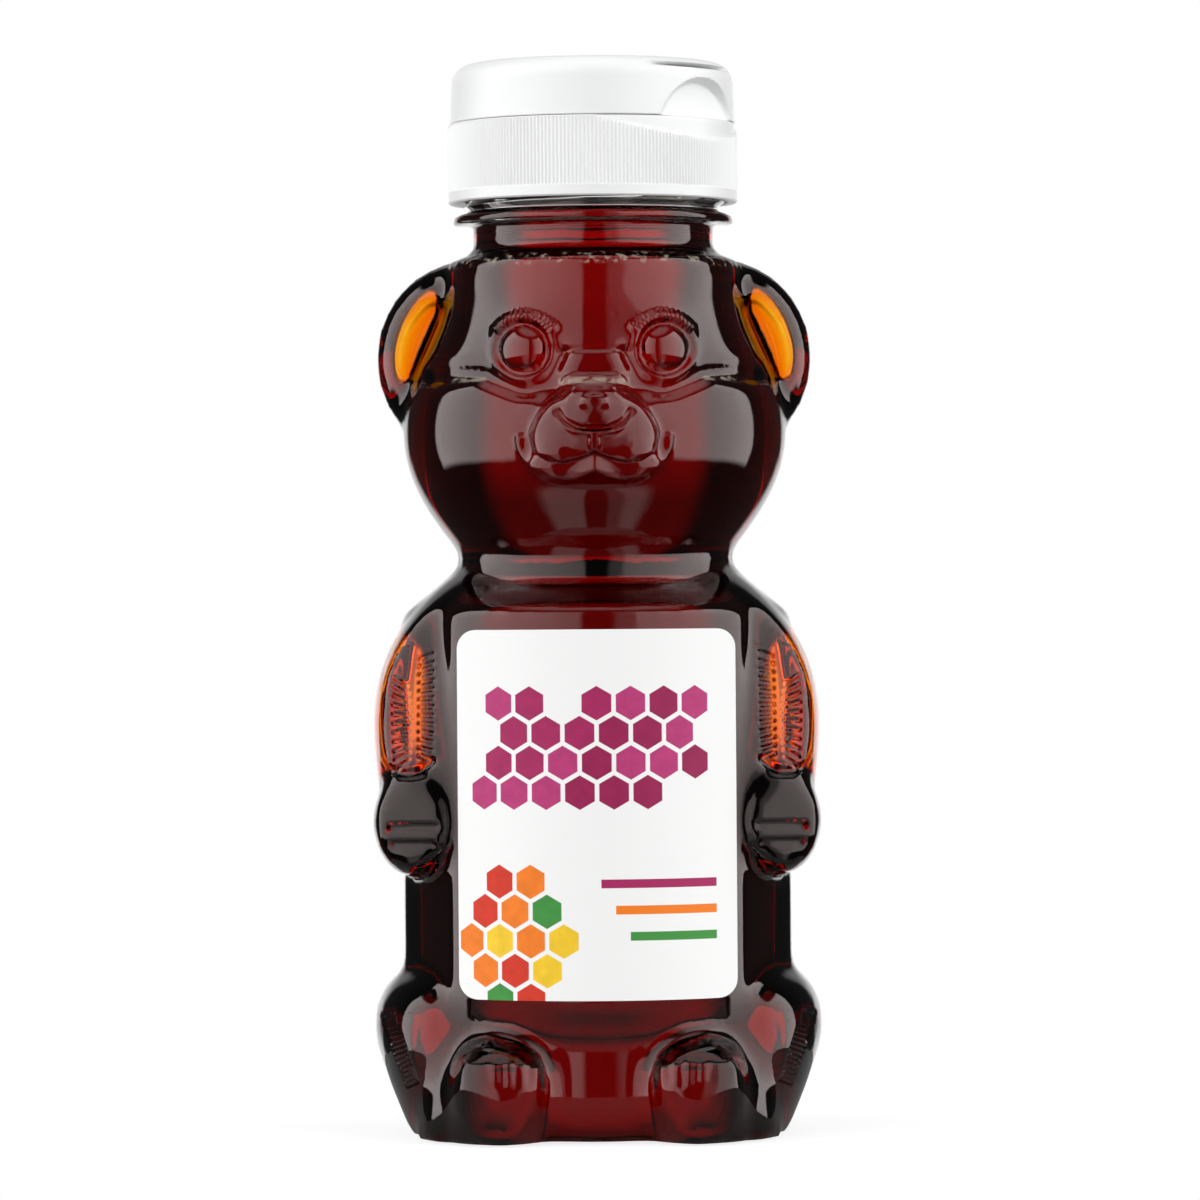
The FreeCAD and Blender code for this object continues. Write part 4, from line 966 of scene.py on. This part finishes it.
def soft_step(value, start, end):
    """0 below start, 1 above end, with a soft step between, for arrays."""
    share = np.clip((value - start) / (end - start), 0.0, 1.0)
    return share * share * (3 - 2 * share)


def cap_body():
    """Skirt, deck and spout turned from one outline, then ribs, recess, thread and hinge pad."""
    foot = CAP_LOW[2] / MM
    tip = CAP_HIGH[2] / MM
    under = SEAM - DECK_THICKNESS
    outline = [(SKIRT_BORE, foot + 0.3), (19.1, foot), (20.15, foot)]
    outline += [(SKIRT_RADIUS, foot + 0.2), (SKIRT_RADIUS, foot + 1.5), (SKIRT_RADIUS, foot + 1.7)]
    outline += [(SKIRT_RADIUS, height) for height in np.arange(foot + 2.6, SEAM - 0.5, 0.32)]
    outline += [(SKIRT_RADIUS, SEAM - 0.35), (20.3, SEAM - 0.15), (20.15, SEAM), (19.3, SEAM), (12.0, SEAM)]
    outline += [(5.5, SEAM), (5.15, SEAM + 0.08), (4.9, SEAM + 0.35), (4.38, tip - 0.3), (4.25, tip - 0.08)]
    outline += [(4.0, tip), (3.6, tip), (3.4, tip - 0.08), (3.3, tip - 0.3), (3.3, under + 0.25)]
    outline += [(3.55, under), (18.6, under), (SKIRT_BORE, under - 0.3)]
    outline += [(SKIRT_BORE, height) for height in np.arange(under - 0.8, foot + 0.5, -0.35)]
    outline.append(outline[0])
    piece = spin_outline("cap_base", [(radius * MM, height * MM) for radius, height in outline], 2 * RIBS)
    places = to_thumb(corners(piece) / MM)
    radius = np.hypot(places[:, 0], places[:, 1])
    height = places[:, 2]
    turn = np.arctan2(places[:, 1], places[:, 0]) / math.tau
    skirt = (radius > 20.2) & (height > foot + 1.6) & (height < SEAM - 0.3)
    valley = np.round(turn * 2 * RIBS).astype(int) % 2 == 1
    recess = soft_step(height - (SEAM - (places[:, 0] - RECESS_FOOT) * RECESS_SLOPE), 0.0, 0.45)
    recess *= (places[:, 0] > 0) & (radius > 19.9)
    drop = np.where(skirt & valley, RIB_DEPTH, 0.0) * (1 - recess) + RECESS_DEPTH * recess
    world_turn = turn + THUMB / math.tau
    thread = (height - THREAD_START) / THREAD_PITCH - world_turn - 0.5
    off_thread = np.abs(thread - np.round(thread)) * THREAD_PITCH
    inner = (np.abs(radius - SKIRT_BORE) < 0.05) & (np.round(thread) >= 0) & (np.round(thread) <= 1)
    drop += np.where(inner, 0.85 * np.clip((0.6 - off_thread) / 0.3, 0.0, 1.0), 0.0)
    places[:, :2] *= ((radius - drop) / radius)[:, None]
    pad = (places[:, 0] < 0) & (np.abs(places[:, 1]) < PAD_HALF_WIDTH)
    pad &= (height > SEAM - PAD_RISE) & (radius > 20.1)
    places[pad, 0] = -PAD_FACE
    move_corners(piece, from_thumb(places) * MM)
    outward_faces(piece)
    return piece


def moulded_white(name):
    """White moulded plastic, semi-gloss, with a faint cloud and a fine grain."""
    plastic = bpy.data.materials.new(name)
    plastic.use_nodes = True
    tree = plastic.node_tree
    shader = tree.nodes["Principled BSDF"]
    object_place = tree.nodes.new("ShaderNodeTexCoord").outputs["Object"]
    cloud = wire(tree, "ShaderNodeTexNoise", object_place, None, 90.0, 3.0)
    tree.links.new(over(tree, CAP_LIGHT, CAP_DARK, cloud), shader.inputs["Base Color"])
    grain = wire(tree, "ShaderNodeTexNoise", object_place, None, 2200.0, 2.0)
    tree.links.new(wire(tree, "ShaderNodeMapRange", grain, 0.3, 0.7, 0.3, 0.42), shader.inputs["Roughness"])
    bump = tree.nodes.new("ShaderNodeBump")
    bump.inputs["Strength"].default_value = 0.06
    bump.inputs["Distance"].default_value = 0.05 * MM
    tree.links.new(grain, bump.inputs["Height"])
    tree.links.new(bump.outputs["Normal"], shader.inputs["Normal"])
    return plastic


white = moulded_white("white_closure")
cap = cap_body()
cap.data.materials.append(white)
only(cap)
bpy.ops.object.shade_smooth_by_angle(angle=math.radians(25))
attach(cap, "cap")
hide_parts("cap_base")

# Lid: the flip top, moulded in one shot with the cap, with a rounded rim, a thumb notch and a plug
# for the spout. It stands a hair inside the skirt and snaps shut on the deck.
LID_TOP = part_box("cap_lid")[1][2] / MM
LID_FOOT = SEAM + 0.1
LID_UNDER = LID_TOP - 1.3
LID_BORE = 18.75
RIM_ROUND = 2.8
RIM_MIDDLE = 17.0
LID_RADIUS = 19.8
LID_FLARE = 0.25
FLARE_LENGTH = 5.5
PLUG_DEPTH = 1.8
NOTCH_HEIGHT = 5.6
NOTCH_RADIUS = 9.2
NOTCH_FACE = 18.05


def flip_lid():
    """Top, wall and plug turned from one outline, then the thumb notch and the hinge pad."""
    plug_tip = CAP_HIGH[2] / MM - PLUG_DEPTH
    rim_foot = LID_TOP - RIM_ROUND
    outline = [(0.0, LID_TOP), (8.0, LID_TOP), (16.0, LID_TOP)]
    for turn in np.radians(np.arange(90, -1, -9)):
        outline.append((RIM_MIDDLE + RIM_ROUND * math.cos(turn), rim_foot + RIM_ROUND * math.sin(turn)))
    for height in np.arange(LID_TOP - 3.05, LID_FOOT + 0.3, -0.25):
        outline.append((LID_RADIUS + LID_FLARE * (rim_foot - height) / FLARE_LENGTH, height))
    outline += [(20.05, LID_FOOT + 0.15), (19.97, LID_FOOT + 0.03), (LID_RADIUS, LID_FOOT)]
    outline += [(18.95, LID_FOOT), (LID_BORE, LID_FOOT + 0.2)]
    outline += [(LID_BORE, height) for height in np.arange(LID_FOOT + 0.8, LID_TOP - 2.0, 0.6)]
    outline += [(18.6, LID_TOP - 1.7), (18.2, LID_TOP - 1.4), (17.6, LID_UNDER), (9.0, LID_UNDER)]
    outline += [(3.0, LID_UNDER), (2.55, LID_TOP - 1.4), (2.4, LID_TOP - 1.7), (1.98, plug_tip + 0.25)]
    outline += [(1.85, plug_tip + 0.05), (1.6, plug_tip), (0.0, plug_tip)]
    piece = spin_outline("cap_lid", [(radius * MM, height * MM) for radius, height in outline], 288)
    places = to_thumb(corners(piece) / MM)
    radius = np.hypot(places[:, 0], places[:, 1])
    height = places[:, 2]
    into_arch = NOTCH_RADIUS - np.hypot(places[:, 1], height - (LID_FOOT + NOTCH_HEIGHT - NOTCH_RADIUS))
    pressed = soft_step(into_arch, 0.0, 0.9)
    outer = (radius > 19.3) & (places[:, 0] > 0)
    places[:, 0] -= np.where(outer, pressed * np.maximum(places[:, 0] - NOTCH_FACE, 0.0), 0.0)
    inner = (radius > 15.0) & (radius <= 19.3) & (places[:, 0] > 0) & (height < LID_TOP - 1.0)
    places[:, 0] = np.where(inner, np.minimum(places[:, 0], NOTCH_FACE - 1.3), places[:, 0])
    pad = (places[:, 0] < 0) & (np.abs(places[:, 1]) < PAD_HALF_WIDTH)
    pad &= (height < LID_FOOT + PAD_RISE) & (radius > 19.5)
    places[pad, 0] = -PAD_FACE
    move_corners(piece, from_thumb(places) * MM)
    outward_faces(piece)
    return piece


lid = flip_lid()
lid.data.materials.append(white)
only(lid)
bpy.ops.object.shade_smooth_by_angle(angle=math.radians(30))
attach(lid, "lid")
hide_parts("cap_lid")

# Strap hinge: a thin strip of the same moulding that joins cap and lid. It is folded outwards while
# the lid is shut.
STRAP_HALF_WIDTH = 4.5
STRAP_MIDDLE = SEAM + 0.05
STRAP_INNER_BEND = 0.9
STRAP_OUTER_BEND = 1.35
BEND_STEPS = 19


def strap_strip():
    """A half-round fold, carried across the strap's width."""
    rows = []
    for radius in (STRAP_INNER_BEND, STRAP_OUTER_BEND):
        for turn in np.radians(np.linspace(90, 270, BEND_STEPS)):
            rows.append((-PAD_FACE + radius * math.cos(turn), STRAP_MIDDLE + radius * math.sin(turn)))
    loop = rows[:BEND_STEPS] + rows[:BEND_STEPS - 1:-1]
    columns = np.linspace(-STRAP_HALF_WIDTH, STRAP_HALF_WIDTH, 13)
    places = np.array([(reach, across, height) for across in columns for reach, height in loop])
    count = len(loop)
    faces = []
    for here in range(0, (len(columns) - 1) * count, count):
        beside = here + count
        for n in range(count):
            following = (n + 1) % count
            faces.append((here + n, here + following, beside + following, beside + n))
    last = (len(columns) - 1) * count
    faces += [tuple(range(count)), tuple(reversed(range(last, last + count)))]
    mesh = bpy.data.meshes.new("hinge_strap")
    mesh.from_pydata((from_thumb(places) * MM).tolist(), [], faces)
    piece = new_piece("hinge_strap", mesh)
    outward_faces(piece)
    return piece


strap = strap_strip()
strap.data.materials.append(white)
only(strap)
bpy.ops.object.shade_smooth_by_angle(angle=math.radians(40))
root = from_thumb(np.array([[-PAD_FACE, 0.0, STRAP_MIDDLE]]))[0] * MM
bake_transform(strap)
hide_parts("hinge_strap")
